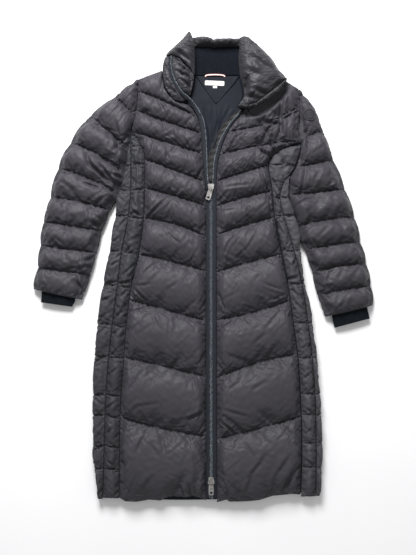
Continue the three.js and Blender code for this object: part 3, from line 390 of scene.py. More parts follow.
def mesh_object(name: str, points: np.ndarray, faces: Iterable[Sequence[int]],
                finishes: Sequence[Finish], flat: int = 0) -> bpy.types.Object:
    """Makes one piece from points in the tables' millimetres.

    Args:
        name: The piece's name.
        points: Its points, one a row.
        faces: Its faces, each a loop of point numbers.
        finishes: Its finish, and any others its faces use.
        flat: How many of its last faces keep a flat look.

    Returns:
        The new piece.
    """
    mesh = bpy.data.meshes.new(name)
    placed = np.asarray(points, float) * MM + ORIGIN
    mesh.from_pydata(placed.tolist(), [], [list(face) for face in faces])
    mesh.validate()
    smooth = np.ones(len(mesh.polygons), bool)
    if flat:
        smooth[-flat:] = False
    mesh.polygons.foreach_set("use_smooth", smooth)
    for finish in finishes:
        mesh.materials.append(finish.material())
    piece = bpy.data.objects.new(name, mesh)
    bpy.context.scene.collection.objects.link(piece)
    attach(piece, BODY)
    return piece


def enclosed(points: np.ndarray, faces: Sequence[Sequence[int]]) -> float:
    """The signed volume that the faces enclose, which is above 0 when they look outwards."""
    total = 0.0
    for face in faces:
        corners = points[list(face)]
        for i in range(1, len(face) - 1):
            total += float(np.dot(corners[0], np.cross(corners[i], corners[i + 1])))
    return total


def skin(rows: int, columns: int, wraps: bool) -> list[tuple[int, ...]]:
    """The four-sided faces over a grid of points."""
    faces = []
    for r in range(rows - 1):
        for c in range(columns if wraps else columns - 1):
            n = (c + 1) % columns
            a, b = r * columns, (r + 1) * columns
            faces.append((a + c, b + c, b + n, a + n))
    return faces


def turned(faces: Sequence[Sequence[int]]) -> list[tuple[int, ...]]:
    """The same faces, looking the other way."""
    return [tuple(face[::-1]) for face in faces]


def border(rows: int, columns: int) -> list[int]:
    """The numbers of the points around a grid's rim, in order."""
    ids = np.arange(rows * columns).reshape(rows, columns)
    return [int(i) for i in (*ids[:-1, 0], *ids[-1, :-1], *ids[:0:-1, -1], *ids[0, :0:-1])]


def capped(points: np.ndarray, rows: int, columns: int) -> list[tuple[int, ...]]:
    """The faces of a tube over rings of points, closed at both ends and looking outwards."""
    last = (rows - 1) * columns
    ends = [tuple(range(columns)), tuple(range(last, last + columns))[::-1]]
    faces = skin(rows, columns, True) + ends
    return faces if enclosed(points, faces) > 0 else turned(faces)


def ring_piece(name: str, rings: Sequence[Sequence[Sequence[float]]] | np.ndarray, finish: Finish,
               node: str) -> bpy.types.Object:
    """Makes a tube-like piece, which stands for its node.

    Args:
        name: The piece's name.
        rings: Its rings of points, one after the other.
        finish: Its finish.
        node: The node.

    Returns:
        The new piece.
    """
    grid = np.array(rings)
    points = grid.reshape(-1, 3)
    made = mesh_object(name, points, capped(points, *grid.shape[:2]), [finish], 2)
    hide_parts(node)
    return made


def finer(grid: np.ndarray, wraps: bool) -> np.ndarray:
    """Doubles a grid's rows and columns, with smooth points in between.

    Args:
        grid: The points, as rows, columns and coordinates.
        wraps: Whether the columns go round in a ring.

    Returns:
        The finer grid.
    """
    def doubled(lines: np.ndarray, ring: bool) -> np.ndarray:
        """Puts a smooth middle line between each two."""
        if ring:
            before, after = np.roll(lines, 1, 0), np.roll(lines, -1, 0)
            beyond = np.roll(lines, -2, 0)
            middles = (9 * (lines + after) - before - beyond) / 16
            return np.stack([lines, middles], 1).reshape(-1, *lines.shape[1:])
        ends = [2 * lines[0] - lines[1], 2 * lines[-1] - lines[-2]]
        wide = np.concatenate([ends[0][None], lines, ends[1][None]])
        middles = (9 * (wide[1:-2] + wide[2:-1]) - wide[:-3] - wide[3:]) / 16
        result = np.empty((2 * len(lines) - 1, *lines.shape[1:]))
        result[0::2], result[1::2] = lines, middles
        return result

    rows = doubled(grid, False)
    return np.ascontiguousarray(np.swapaxes(doubled(np.swapaxes(rows, 0, 1), wraps), 0, 1))


def eased(count: int, pinch: float) -> np.ndarray:
    """Stops from 0 to 1 that stand closer together near both ends."""
    stops = np.linspace(0.0, 1.0, count + 1)
    return stops - pinch * np.sin(2 * np.pi * stops) / (2 * np.pi)


@dataclass(frozen=True)
class Seam:
    """A seam or outline seen from above: x as a smooth function of y, from the shoulder to the hem."""

    points: tuple[Place, ...]
    shift: float = 0.0

    def __call__(self, y: float) -> float:
        """Where the seam lies at one height up the coat."""
        points = self.points
        last = len(points) - 2
        i = next((n - 1 for n, point in enumerate(points) if point[0] <= y), last)
        i = max(i, 0)
        (from_y, from_x), (to_y, to_x) = points[i], points[i + 1]
        span = to_y - from_y
        t = min(max((y - from_y) / span, 0.0), 1.0)
        chord = (to_x - from_x) / span
        bend = t * (1 - t) * ((1 - t) * (self._slope(i) - chord) - t * (self._slope(i + 1) - chord))
        return from_x + chord * span * t + span * bend + self.shift

    def _slope(self, i: int) -> float:
        """How fast the seam runs sideways at one of its points."""
        before, after = self.points[max(i - 1, 0)], self.points[min(i + 1, len(self.points) - 1)]
        return (after[1] - before[1]) / (after[0] - before[0])

    def moved(self, dx: float) -> "Seam":
        """The same seam, further towards the wearer's left."""
        return Seam(self.points, self.shift + dx)


def between(upper: Curve, limit: float, lower: Curve) -> Curve:
    """One curve above a height up the coat and another below it."""
    def joined(y: float) -> float:
        """Where the joined curve lies at one height."""
        return upper(y) if y > limit else lower(y)

    return joined


@dataclass(frozen=True)
class Crease:
    """A fold along a line: a trough with a soft ridge beside it."""

    path: tuple[Place, ...]
    depth: float
    width: float
    ridge: float = 0.6
    fades: bool = False

    def press(self, places: np.ndarray, rise: np.ndarray) -> None:
        """Adds the fold to the points near it.

        Args:
            places: Points as x and y, one a row.
            rise: How far each is raised, which is changed.
        """
        corners = np.array(self.path, float)
        margin = 3.5 * self.width
        inside = (places > corners.min(0) - margin) & (places < corners.max(0) + margin)
        near = np.flatnonzero(inside.all(1))
        if len(near):
            rise[near] += self._lift(places[near], corners)

    def _lift(self, places: np.ndarray, corners: np.ndarray) -> np.ndarray:
        """How far the fold raises each point, below 0 in the trough."""
        nearest = np.full(len(places), 1e9)
        side = np.zeros(len(places))
        along = np.zeros(len(places))
        lengths = np.linalg.norm(np.diff(corners, axis=0), axis=1)
        run = 0.0
        for start, end, length in zip(corners[:-1], corners[1:], lengths):
            way = (end - start) / length
            offset = places - start
            t = np.clip(offset @ way, 0, length)
            distance = np.linalg.norm(offset - t[:, None] * way, axis=1)
            closer = distance < nearest
            nearest = np.where(closer, distance, nearest)
            side = np.where(closer, way[0] * offset[:, 1] - way[1] * offset[:, 0], side)
            along = np.where(closer, (run + t) / lengths.sum(), along)
            run += length
        signed = np.where(side < 0, -nearest, nearest) / self.width
        raised = np.exp(-((signed - 1.7) / 1.1) ** 2)
        taper = (1 - along) ** 0.8 if self.fades else np.sin(np.pi * np.clip(along, 0.03, 0.97)) ** 0.5
        trough = self.depth * np.exp(-signed ** 2)
        return (self.ridge * min(self.depth, RIDGE_LIMIT) * raised - trough) * taper


@dataclass(frozen=True)
class Gathers:
    """Short puckers that stand along a sewn line, uneven in place, length, depth and slant."""

    spacing: float = 7.0
    reach: Place = (5.0, 30.0)
    depth: Place = (0.9, 2.5)
    width: Place = (1.5, 2.6)
    slant: float = 0.5

    def along(self, line: np.ndarray, rng: np.random.Generator) -> list[Crease]:
        """Lays puckers on both sides of a line.

        Args:
            line: The line's points.
            rng: Where the unevenness comes from.

        Returns:
            The puckers.
        """
        steps = np.linalg.norm(np.diff(line[:, :2], axis=0), axis=1)
        run = np.concatenate([[0.0], np.cumsum(steps)])
        stop = rng.uniform(0.0, self.spacing)
        found = []
        while stop < run[-1]:
            i = min(int(np.searchsorted(run, stop)), len(line) - 1)
            way = line[i, :2] - line[i - 1, :2]
            heading = math.atan2(way[1], way[0])
            for side in (math.pi / 2, -math.pi / 2):
                if rng.random() < 0.25:
                    continue
                turn = heading + side + rng.normal(0.0, self.slant)
                reach = self.reach[0] + (self.reach[1] - self.reach[0]) * rng.random() ** 2.4
                out = np.array([math.cos(turn), math.sin(turn)])
                start, end = line[i, :2] - out, line[i, :2] + out * reach
                found.append(Crease((tuple(start), tuple(end)), rng.uniform(*self.depth),
                                    rng.uniform(*self.width), 0.35, True))
            stop += self.spacing * rng.uniform(0.4, 1.7)
        return found


@dataclass(frozen=True)
class Pulls:
    """Long faint folds across the pillows, most of which lean the same way."""

    area: float = 2300.0
    length: Place = (24.0, 84.0)
    depth: Place = (0.5, 1.7)
    width: Place = (1.8, 3.8)
    lean: float = 0.95

    def over(self, cloth: "Cloth", rng: np.random.Generator) -> list[Crease]:
        """Lays folds over a whole cloth.

        Args:
            cloth: The cloth.
            rng: Where the unevenness comes from.

        Returns:
            The folds.
        """
        flat = cloth.grid.reshape(-1, 3)
        spread = np.ptp(flat[:, :2], axis=0)
        found = []
        for _ in range(int(spread[0] * spread[1] / self.area)):
            middle = flat[rng.integers(len(flat)), :2]
            turn = self.lean + rng.normal(0.0, 0.24) + (math.pi / 2 if rng.random() < 0.14 else 0.0)
            half = rng.uniform(*self.length) / 2
            way = np.array([math.cos(turn), math.sin(turn)])
            bend = np.array([-way[1], way[0]]) * half * rng.uniform(-0.18, 0.18)
            path = (tuple(middle - way * half), tuple(middle + bend), tuple(middle + way * half))
            found.append(Crease(path, rng.uniform(*self.depth), rng.uniform(*self.width), 0.5))
        return found


@dataclass
class Cloth:
    """A stretch of cloth as a grid of points, before and after it is filled."""

    name: str
    grid: np.ndarray
    sewn: np.ndarray
    closing: Closing
    base: float = UPPER_BASE
    reach: float = 6.0
    spare: float = 0.045
    folding: float = 1.0
    lines: list[int] = field(default_factory=list)

    def quads(self) -> list[tuple[int, ...]]:
        """The grid's faces, looking away from the coat's inside."""
        rows, columns = self.grid.shape[:2]
        faces = skin(rows, columns, self.closing is Closing.RING)
        a, b, _, d = faces[columns // 4 if self.closing is Closing.RING else len(faces) // 2]
        flat = self.grid.reshape(-1, 3)
        upwards = np.cross(flat[b] - flat[a], flat[d] - flat[a])[2] > 0
        return faces if upwards != (self.closing is Closing.UP) else turned(faces)

    def closed(self) -> tuple[np.ndarray, list[tuple[int, ...]], int]:
        """Closes the grid into a solid.

        Returns:
            Its points, its faces, and how many of the last faces close it.
        """
        rows, columns = self.grid.shape[:2]
        points = self.grid.reshape(-1, 3)
        if self.closing is Closing.RING:
            return points, capped(points, rows, columns), 2
        faces = self.quads()
        rim = border(rows, columns)
        foot = points[rim].copy()
        foot[:, 2] = self.base
        start, count = len(points), len(rim)
        walls = [(rim[i], rim[(i + 1) % count], start + (i + 1) % count, start + i) for i in range(count)]
        bottom = tuple(range(start, start + count))
        around = faces[0]
        if any((around[k], around[(k + 1) % 4]) == (rim[0], rim[1]) for k in range(4)):
            walls = turned(walls)
        else:
            bottom = bottom[::-1]
        return np.concatenate([points, foot]), [*faces, *walls, bottom], count + 1

    def piece(self, finishes: Sequence[Finish], node: str, fill: float = 0.5) -> bpy.types.Object:
        """Makes the padded piece, which stands for its node.

        Args:
            finishes: Its finish, and one more if the face that closes it has its own.
            node: The node.
            fill: Not used.

        Returns:
            The new piece.
        """
        points, faces, closing = self.closed()
        made = mesh_object(self.name, points, faces, finishes, closing)
        made.data.polygons[-1].material_index = len(finishes) - 1
        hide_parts(node)
        return made


@dataclass(frozen=True)
class Filling:
    """Blows padded cloth up between its sewn lines, with a cloth simulation for all of it at once."""

    pressure: float = 5.0
    frames: int = 16
    uneven: float = 0.4
    stretch: float = 14.0
    bending: float = 0.3

    def blow(self, cloths: Sequence[Cloth]) -> None:
        """Simulates every cloth and keeps its new shape in its grid.

        Args:
            cloths: The stretches of cloth, whose sewn points stay where they are.
        """
        rng = np.random.default_rng(SEED)
        for cloth in cloths:
            jitter = rng.normal(0.0, self.uneven, cloth.grid.shape[:2])
            cloth.grid[..., 2] += np.where(cloth.sewn, 0.0, jitter)
        objects = [self._sheet(cloth) for cloth in cloths]
        for number in range(1, self.frames + 1):
            bpy.context.scene.frame_set(number)
        graph = bpy.context.evaluated_depsgraph_get()
        for cloth, sheet in zip(cloths, objects):
            blown = sheet.evaluated_get(graph).to_mesh()
            flat = np.empty(len(blown.vertices) * 3)
            blown.vertices.foreach_get("co", flat)
            sheet.evaluated_get(graph).to_mesh_clear()
            step = flat.reshape(cloth.grid.shape) / MM - cloth.grid
            length = np.maximum(np.linalg.norm(step, axis=-1, keepdims=True), 1e-6)
            cloth.grid = cloth.grid + step * cloth.reach * np.tanh(length / cloth.reach) / length
        for sheet in objects:
            mesh = sheet.data
            bpy.data.objects.remove(sheet)
            bpy.data.meshes.remove(mesh)
        bpy.context.scene.frame_set(1)

    def _sheet(self, cloth: Cloth) -> bpy.types.Object:
        """Makes a simulated sheet from one grid, held along its sewn lines."""
        mesh = bpy.data.meshes.new("filling")
        mesh.from_pydata((cloth.grid.reshape(-1, 3) * MM).tolist(), [], cloth.quads())
        sheet = bpy.data.objects.new("filling", mesh)
        bpy.context.scene.collection.objects.link(sheet)
        group = sheet.vertex_groups.new(name="sewn")
        group.add(np.flatnonzero(cloth.sewn.ravel()).tolist(), 1.0, "REPLACE")
        settings = sheet.modifiers.new("Filling", "CLOTH").settings
        settings.quality = 4
        settings.mass = 0.15
        settings.tension_stiffness = self.stretch
        settings.compression_stiffness = self.stretch
        settings.shear_stiffness = self.stretch / 3
        settings.bending_stiffness = self.bending
        settings.use_pressure = True
        settings.uniform_pressure_force = self.pressure
        settings.shrink_min = -cloth.spare
        settings.vertex_group_mass = "sewn"
        settings.effector_weights.gravity = 0.0
        return sheet


@dataclass(frozen=True)
class Row:
    """One quilt line: its height at both seams, the crest of the pillow below it, and its bends."""

    out: float | Place
    inn: float | Place
    crest: float
    sag: float = 0.0
    line: float | None = None
    edge: float | None = None
    via: tuple[tuple[float, float, float], ...] = ()


@dataclass(frozen=True)
class Panel:
    """A quilted panel between two seams, with a row for each quilt line from the top down."""

    name: str
    rows: tuple[Row, ...]
    outer: Curve | None = None
    inner: Curve | None = None
    edge: float = 20.0
    line: float = 22.0
    swell: float = 0.0
    cell: float = 4.8
    puff: float = 0.6
    roll: float = 24.0
    slack: float = 2.5
    hem: tuple[Place, ...] = ()
    smooth: bool = False

    def on_line(self, row: Row, u: float) -> np.ndarray:
        """Where a quilt line runs, part of the way from the outer seam to the inner one."""
        out = row.out if isinstance(row.out, tuple) else (self.outer(row.out), row.out)
        inn = row.inn if isinstance(row.inn, tuple) else (self.inner(row.inn), row.inn)
        stops = [(0.0, *out), *row.via, (1.0, *inn)]
        n = next((i for i, stop in enumerate(stops) if stop[0] > u), len(stops) - 1)
        low, high = stops[n - 1], stops[n]
        part = (u - low[0]) / (high[0] - low[0])
        sag = row.sag * 4 * u * (1 - u)
        return np.array([low[1] + (high[1] - low[1]) * part, low[2] + (high[2] - low[2]) * part - sag])

    def point(self, k: int, t: float, u: float) -> np.ndarray:
        """A point on the panel's upper side.

        Args:
            k: The pillow, counted from the top.
            t: The way down it, from 0 to 1.
            u: The way across from the outer seam to the inner one.

        Returns:
            The point, in millimetres.
        """
        row, below = self.rows[k], self.rows[k + 1]
        outer, inner, here = (self.on_line(row, part) * (1 - t) + self.on_line(below, part) * t
                              for part in (0.0, 1.0, u))
        loose_out = self.outer and not isinstance(row.out, tuple) and not isinstance(below.out, tuple)
        loose_inn = self.inner and not isinstance(row.inn, tuple) and not isinstance(below.inn, tuple)
        out_shift = self.outer(outer[1]) - outer[0] if loose_out else 0.0
        inn_shift = self.inner(inner[1]) - inner[0] if loose_inn else 0.0
        swell = self.swell * math.sin(math.pi * t) * math.copysign(1.0, outer[0] - inner[0])
        x = here[0] + (out_shift + swell) * (1 - u) ** 2 + inn_shift * u ** 2
        width = float(np.hypot(*(outer - inner)))
        roll = min(self.roll, width / 2)
        rise = math.sin(min(1.0, min(u, 1 - u) * width / roll) * math.pi / 2)
        puff = max(math.sin(math.pi * t), 0.0) ** self.puff
        edge = (row.edge or self.edge) * (1 - t) + (below.edge or self.edge) * t
        line = (row.line or self.line) * (1 - t) + (below.line or self.line) * t
        crest = max(row.crest - self.slack, line)
        if self.smooth:
            crest, line, puff = self._rolled_height(k + t), edge, 1.0
        y = here[1]
        if self.hem and k == len(self.rows) - 2:
            y += t ** 5 * float(np.interp(x, *zip(*self.hem)))
        return np.array([x, y, edge + rise * (line - edge + (crest - line) * puff)])

    def _rolled_height(self, way: float) -> float:
        """How high one smooth roll stands, at a way down the panel that is counted in pillows."""
        last = len(self.rows) - 1
        stops = [0.0, *(i + 0.5 for i in range(last)), float(last)]
        heights = [self.rows[0].line or self.line, *(row.crest for row in self.rows[:-1]),
                   self.rows[-1].line or self.line]
        return float(np.interp(way, stops, heights))

    def stops(self) -> tuple[list[tuple[int, float]], np.ndarray, list[int]]:
        """Where the cloth's points lie: down the panel, across it, and which rows are quilt lines."""
        down: list[tuple[int, float]] = []
        lines = []
        widths = []
        for k, (row, below) in enumerate(zip(self.rows[:-1], self.rows[1:])):
            ends = [self.on_line(line, u) for line in (row, below) for u in (0.0, 1.0)]
            length = max(np.hypot(*(ends[0] - ends[2])), np.hypot(*(ends[1] - ends[3])))
            widths.append(np.hypot(*(ends[0] - ends[1])))
            lines.append(len(down))
            count = max(3, round(float(length) / self.cell))
            down.extend((k, float(t)) for t in eased(count, 0.45)[:-1])
        lines.append(len(down))
        down.append((len(self.rows) - 2, 1.0))
        across = eased(max(4, round(float(np.mean(widths)) / self.cell)), 0.3)
        return down, across, lines

    def cloth(self, closing: Closing = Closing.DOWN, base: float = UPPER_BASE, **settings: float) -> Cloth:
        """Lays the panel out as a cloth that is sewn at its edges and quilt lines."""
        down, across, lines = self.stops()
        lines = [lines[0], lines[-1]] if self.smooth else lines
        grid = np.array([[self.point(k, t, float(u)) for u in across] for k, t in down])
        sewn = np.zeros(grid.shape[:2], bool)
        sewn[lines] = True
        sewn[:, [0, -1]] = True
        return Cloth(self.name, grid, sewn, closing, base, lines=lines, **settings)


SEAMS: dict[str, tuple[Place, ...]] = {
    "armhole_right": (
        (509, -180), (476, -179), (427, -183), (384, -193), (345, -199), (324, -204), (280, -208),
        (245, -215), (215, -226), (199, -230), (182, -240), (136, -258), (110, -268), (69, -276),
        (24, -287), (-55, -312)),
    "princess_right": (
        (509, -180), (476, -179), (427, -183), (384, -192), (368, -190), (347, -176), (323, -165),
        (298, -160), (223, -159), (147, -161), (56, -173), (-29, -190), (-127, -201), (-199, -205),
        (-341, -212), (-532, -211)),
    "side_right": (
        (368, -195), (335, -195), (285, -194.5), (218, -194), (149, -200), (61, -215), (-24, -224),
        (-120, -235), (-198, -242), (-289, -247), (-409, -249), (-532, -250)),
    "outline_right": (
        (345, -199), (324, -204), (280, -208), (245, -215), (215, -226), (199, -230), (156, -232),
        (65, -245), (-23, -260), (-117, -272), (-197, -277), (-289, -279), (-410, -277), (-462, -273),
        (-534, -264)),
    "armhole_left": (
        (483, 232), (454, 235), (435, 233.5), (403, 231.5), (371, 231), (343, 237), (325, 235), (284, 222),
        (245, 206), (211, 203), (177, 210), (149, 220), (121, 226), (95, 231), (65, 244), (12, 260),
        (-46, 273), (-97, 289)),
    "princess_left": (
        (345, 237), (335, 211), (322, 182), (304, 161), (283, 152), (265, 153), (241, 158), (198, 162),
        (149, 166), (61, 181), (-19, 197), (-115, 209), (-200, 219), (-286, 223), (-402, 225),
        (-524, 220)),
    "side_left": (
        (343, 236.4), (325, 234.2), (284, 221), (262, 209), (240, 192), (198, 181), (152, 190), (63, 214),
        (-19, 232), (-115, 245), (-200, 254), (-287, 259), (-402, 260), (-520, 257)),
    "outline_left": (
        (284, 222), (245, 206), (211, 203), (177, 210), (149, 220), (121, 226), (95, 230), (67, 230),
        (-18, 240), (-68, 251), (-115, 257), (-200, 267), (-287, 272), (-403, 274), (-459, 272),
        (-520, 267)),
    "opening_right": (
        (441, -47), (420, -33.5), (396, -23.2), (355, -16.6), (293, -12.6), (245, -8.8), (212, -5),
        (150, -5), (-540, -5)),
    "opening_left": (
        (433, 94.6), (412, 80.6), (381, 56.6), (336, 36.6), (300, 27), (281, 23.5), (238, 21), (150, 21),
        (-540, 21)),
    "collar_outline_right": (
        (632, -50), (616, -62), (591, -86), (575, -101), (559, -110), (538, -115), (519, -115),
        (501, -112), (480, -106), (463, -95), (449, -81)),
    "roll_right": (
        (632, -46), (620, -41), (599, -35), (575, -33.5), (543, -33.5), (514, -34.5)),
    "ridge_right": (
        (563, -90), (557, -73), (544, -61), (530, -47), (512, -36), (490, -38.5), (470, -43), (460, -46)),
    "chain_right": (
        (563, -93), (537, -94), (511, -89), (490, -80), (469, -66), (454, -49), (438, -33)),
    "collar_outline_left": (
        (618, 102), (597, 125), (576, 146), (555, 165), (530, 179), (516, 192), (504, 200)),
    "roll_left": (
        (618, 81), (590, 81), (570, 79.5), (542, 81), (516, 83.5), (499, 87.5), (480, 92), (461, 92),
        (448, 86), (436, 79)),
}


def seams() -> dict[str, Seam]:
    """The coat's seams and outlines, whose tables give y and x from the shoulder to the hem."""
    return {name: Seam(points) for name, points in SEAMS.items()}


def lip_line(table: dict[str, Seam], side: str, shift: float = 0.0) -> Curve:
    """The inner edge of the narrow lip on which a side back panel rests on the surface.

    Args:
        table: The coat's seams.
        side: The wearer's side.
        shift: How much further in it lies.

    Returns:
        The edge, as x for a height up the coat.
    """
    outline, seam = table[f"outline_{side}"], table[f"side_{side}"]
    inwards, nearer = (1, min) if side == "right" else (-1, max)

    def lip(y: float) -> float:
        """Where the edge lies at one height."""
        return nearer(outline(y) + inwards * LIP, seam(y) - inwards * 2 * GAP) + inwards * shift

    return lip


def creases(table: Sequence[Sequence[float | tuple[Place, ...]]]) -> tuple[Crease, ...]:
    """Makes folds from a table of a depth, a half width and the paths of all folds that have them."""
    return tuple(Crease(path, depth, width) for depth, width, *paths in table for path in paths)


def rows(*table: Sequence[float | Place]) -> tuple[Row, ...]:
    """Makes quilt lines from a table of their heights at both seams, their crests and their bends."""
    return tuple(Row(*entry) for entry in table)


def bends(offset: np.ndarray) -> np.ndarray:
    """The terms of a gently bent plane, at places given from its middle."""
    dx, dy = offset[:, 0], offset[:, 1]
    return np.stack([np.ones_like(dx), dx, dy, dx * dx, dx * dy, dy * dy], -1)


@dataclass
class Padding:
    """The coat's padded cloth: each stretch is laid out, blown up together and folded."""

    filling: Filling = field(default_factory=Filling)
    gathers: Gathers = field(default_factory=Gathers)
    pulls: Pulls = field(default_factory=Pulls)
    by_hand: float = 1.7
    lowest: float = 17.5
    cloths: dict[str, Cloth] = field(default_factory=dict)
    trees: dict[str, BVHTree] = field(default_factory=dict)

    def add(self, *cloths: Cloth) -> None:
        """Takes on more stretches of cloth."""
        for cloth in cloths:
            self.cloths[cloth.name] = cloth

    def shape(self, folds: dict[str, tuple[Crease, ...]]) -> None:
        """Blows the cloth up, makes it finer and lays its folds.

        Args:
            folds: The listed folds, by the name of their cloth.
        """
        self.filling.blow(list(self.cloths.values()))
        rng = np.random.default_rng(SEED)
        for cloth in self.cloths.values():
            cloth.grid = finer(cloth.grid, cloth.closing is Closing.RING)
            cloth.lines = [2 * line for line in cloth.lines]
            flat = cloth.grid.reshape(-1, 3)
            rise = np.zeros(len(flat))
            chance = [*self._puckers(cloth, rng), *self.pulls.over(cloth, rng)]
            for fold in chance:
                fold.press(flat[:, :2], rise)
            laid = np.zeros(len(flat))
            for fold in folds.get(cloth.name, ()):
                fold.press(flat[:, :2], laid)
            rise = (rise * cloth.folding + laid * self.by_hand) * self._looks_up(cloth)
            folded = np.maximum(flat[:, 2] + rise, np.minimum(flat[:, 2], self.lowest))
            flat[:, 2] = np.maximum(folded, 0.0)
            LOG.info("%s: %d points, %d chance folds", cloth.name, len(flat), len(chance))

    def bent_plane(self, name: str, place: Place, radius: float) -> np.ndarray:
        """The bent plane that lies closest to one cloth around a place."""
        flat = self.cloths[name].grid.reshape(-1, 3)
        near = (np.linalg.norm(flat[:, :2] - place, axis=1) < radius) & (flat[:, 2] > SLEEVE_TOP)
        return np.linalg.lstsq(bends(flat[near, :2] - place), flat[near, 2], rcond=None)[0]

    def press_flat(self, name: str, place: Place, radius: float) -> None:
        """Smooths one cloth where a patch is sewn on it."""
        fit = self.bent_plane(name, place, radius)
        flat = self.cloths[name].grid.reshape(-1, 3)
        offset = flat[:, :2] - place
        share = np.clip(3.2 - 2.4 * np.linalg.norm(offset, axis=1) / radius, 0.0, 1.0)
        flat[:, 2] += (bends(offset) @ fit - flat[:, 2]) * share * (flat[:, 2] > SLEEVE_TOP)

    def _puckers(self, cloth: Cloth, rng: np.random.Generator) -> list[Crease]:
        """Puckers along every quilt line and both side seams."""
        lines = [cloth.grid[line] for line in cloth.lines]
        if cloth.closing is not Closing.RING:
            lines += [cloth.grid[:, 0], cloth.grid[:, -1]]
        return [pucker for line in lines for pucker in self.gathers.along(line[line[:, 2] > 12.0], rng)]

    def _looks_up(self, cloth: Cloth) -> np.ndarray:
        """How much each point takes part in folds: not at the rim, and not on an underside."""
        rows, columns = cloth.grid.shape[:2]
        share = np.ones((rows, columns))
        share[[0, -1]] = 0.0
        if cloth.closing is not Closing.RING:
            share[:, [0, -1]] = 0.0
        share *= np.clip((cloth.grid[..., 2] - 13.0) / 6.0, 0.0, 1.0)
        return share.ravel()

    def make(self, name: str, finish: Finish, fill: float = 0.5) -> bpy.types.Object:
        """Makes one padded piece, which stands for the node of its own name."""
        cloth = self.cloths[name]
        cloth.name = f"{name}_cloth"
        piece = cloth.piece([finish], name, fill)
        self.trees[name] = BVHTree.FromPolygons(cloth.grid.reshape(-1, 3).tolist(), cloth.quads())
        return piece

    def height(self, name: str, x: float, y: float) -> float | None:
        """How high one finished piece's upper side lies at a place, if it reaches it."""
        hit = self.trees[name].ray_cast(Vector((x, y, 200.0)), Vector((0.0, 0.0, -1.0)))
        return None if hit[0] is None else hit[0].z

    def line(self, name: str, number: int) -> np.ndarray:
        """The points along one sewn quilt line of a finished piece."""
        cloth = self.cloths[name]
        return cloth.grid[cloth.lines[number]]


@dataclass
class Lower:
    """The lower layer: the back and the collar's outer layer, whose quilting shows from below."""

    top: float = LOWER_TOP
    groove: float = 4.0
    pitch: float = 66.0
    chevron: float = 26.0
    seam_table: dict[str, Seam] = field(default_factory=seams)

    def back(self) -> Cloth:
        """The whole back, quilted across its underside."""
        table = self.seam_table
        neck = ((0.16, -115.0, 532.0), (0.36, -34.0, 519.0), (0.64, 84.0, 519.0), (0.92, 199.0, 506.0))
        sides = ((476, 454), (430, 425), (384, 371), (342, 342), (336, 322), (280, 284), (257, 257),
                 (253, 253), (240, 238), (199, 205), (150, 150), (60, 60), (-60, -30), (-160, -160), (-270, -270),
                 (-380, -380))
        panel = Panel(
            "back",
            (Row((-179, 508), (231, 482), self.top, via=neck), *(Row(*ends, self.top) for ends in sides),
             Row(-528, -515, self.top, 13.0)),
            between(table["armhole_right"].moved(GAP), 339, lip_line(table, "right", GAP)),
            between(table["armhole_left"].moved(-GAP), 255, lip_line(table, "left", GAP)),
            edge=self.top, line=self.top, cell=9.0, slack=0.0)
        return self._underside(panel)

    def collar(self) -> Cloth:
        """The collar's outer layer behind the neck."""
        panel = Panel("collar_back", (
            Row((-50, 626), (103, 614), self.top,
                via=((0.2, -36, 616), (0.4, -6, 617), (0.6, 21, 611), (0.8, 76, 615))),
            Row((-84, 592), (128, 592), self.top), Row((-113, 545), (172, 540), self.top),
            Row((-114, 533.4), (198, 508.4), self.top,
                via=((0.2, -50, 523), (0.4, 0, 520), (0.6, 84, 520), (0.8, 130, 514.6))),
        ), edge=self.top, line=self.top, cell=7.0, slack=0.0)
        return self._underside(panel)

    def _underside(self, panel: Panel) -> Cloth:
        """Lays the panel's grid on the surface, with its quilt lines and rim drawn up from it."""
        cloth = panel.cloth(Closing.UP, self.top)
        x, y = cloth.grid[..., 0], cloth.grid[..., 1]
        drop = self.chevron * np.abs(np.sin(np.clip(x - 7.5, -230, 230) / 230 * np.pi / 2))
        phase = (y + drop) / self.pitch
        valley = np.exp(-((phase - np.round(phase)) * self.pitch / 6.0) ** 2)
        rows, columns = x.shape
        side = np.minimum(np.arange(columns), np.arange(columns)[::-1])[None, :]
        ends = np.minimum(np.arange(rows), np.arange(rows)[::-1])[:, None]
        rim = np.clip(1.0 - np.minimum(side, ends) / 2.0, 0.0, 1.0) ** 2
        cloth.grid[..., 2] = self.groove * np.maximum(valley, rim)
        return cloth


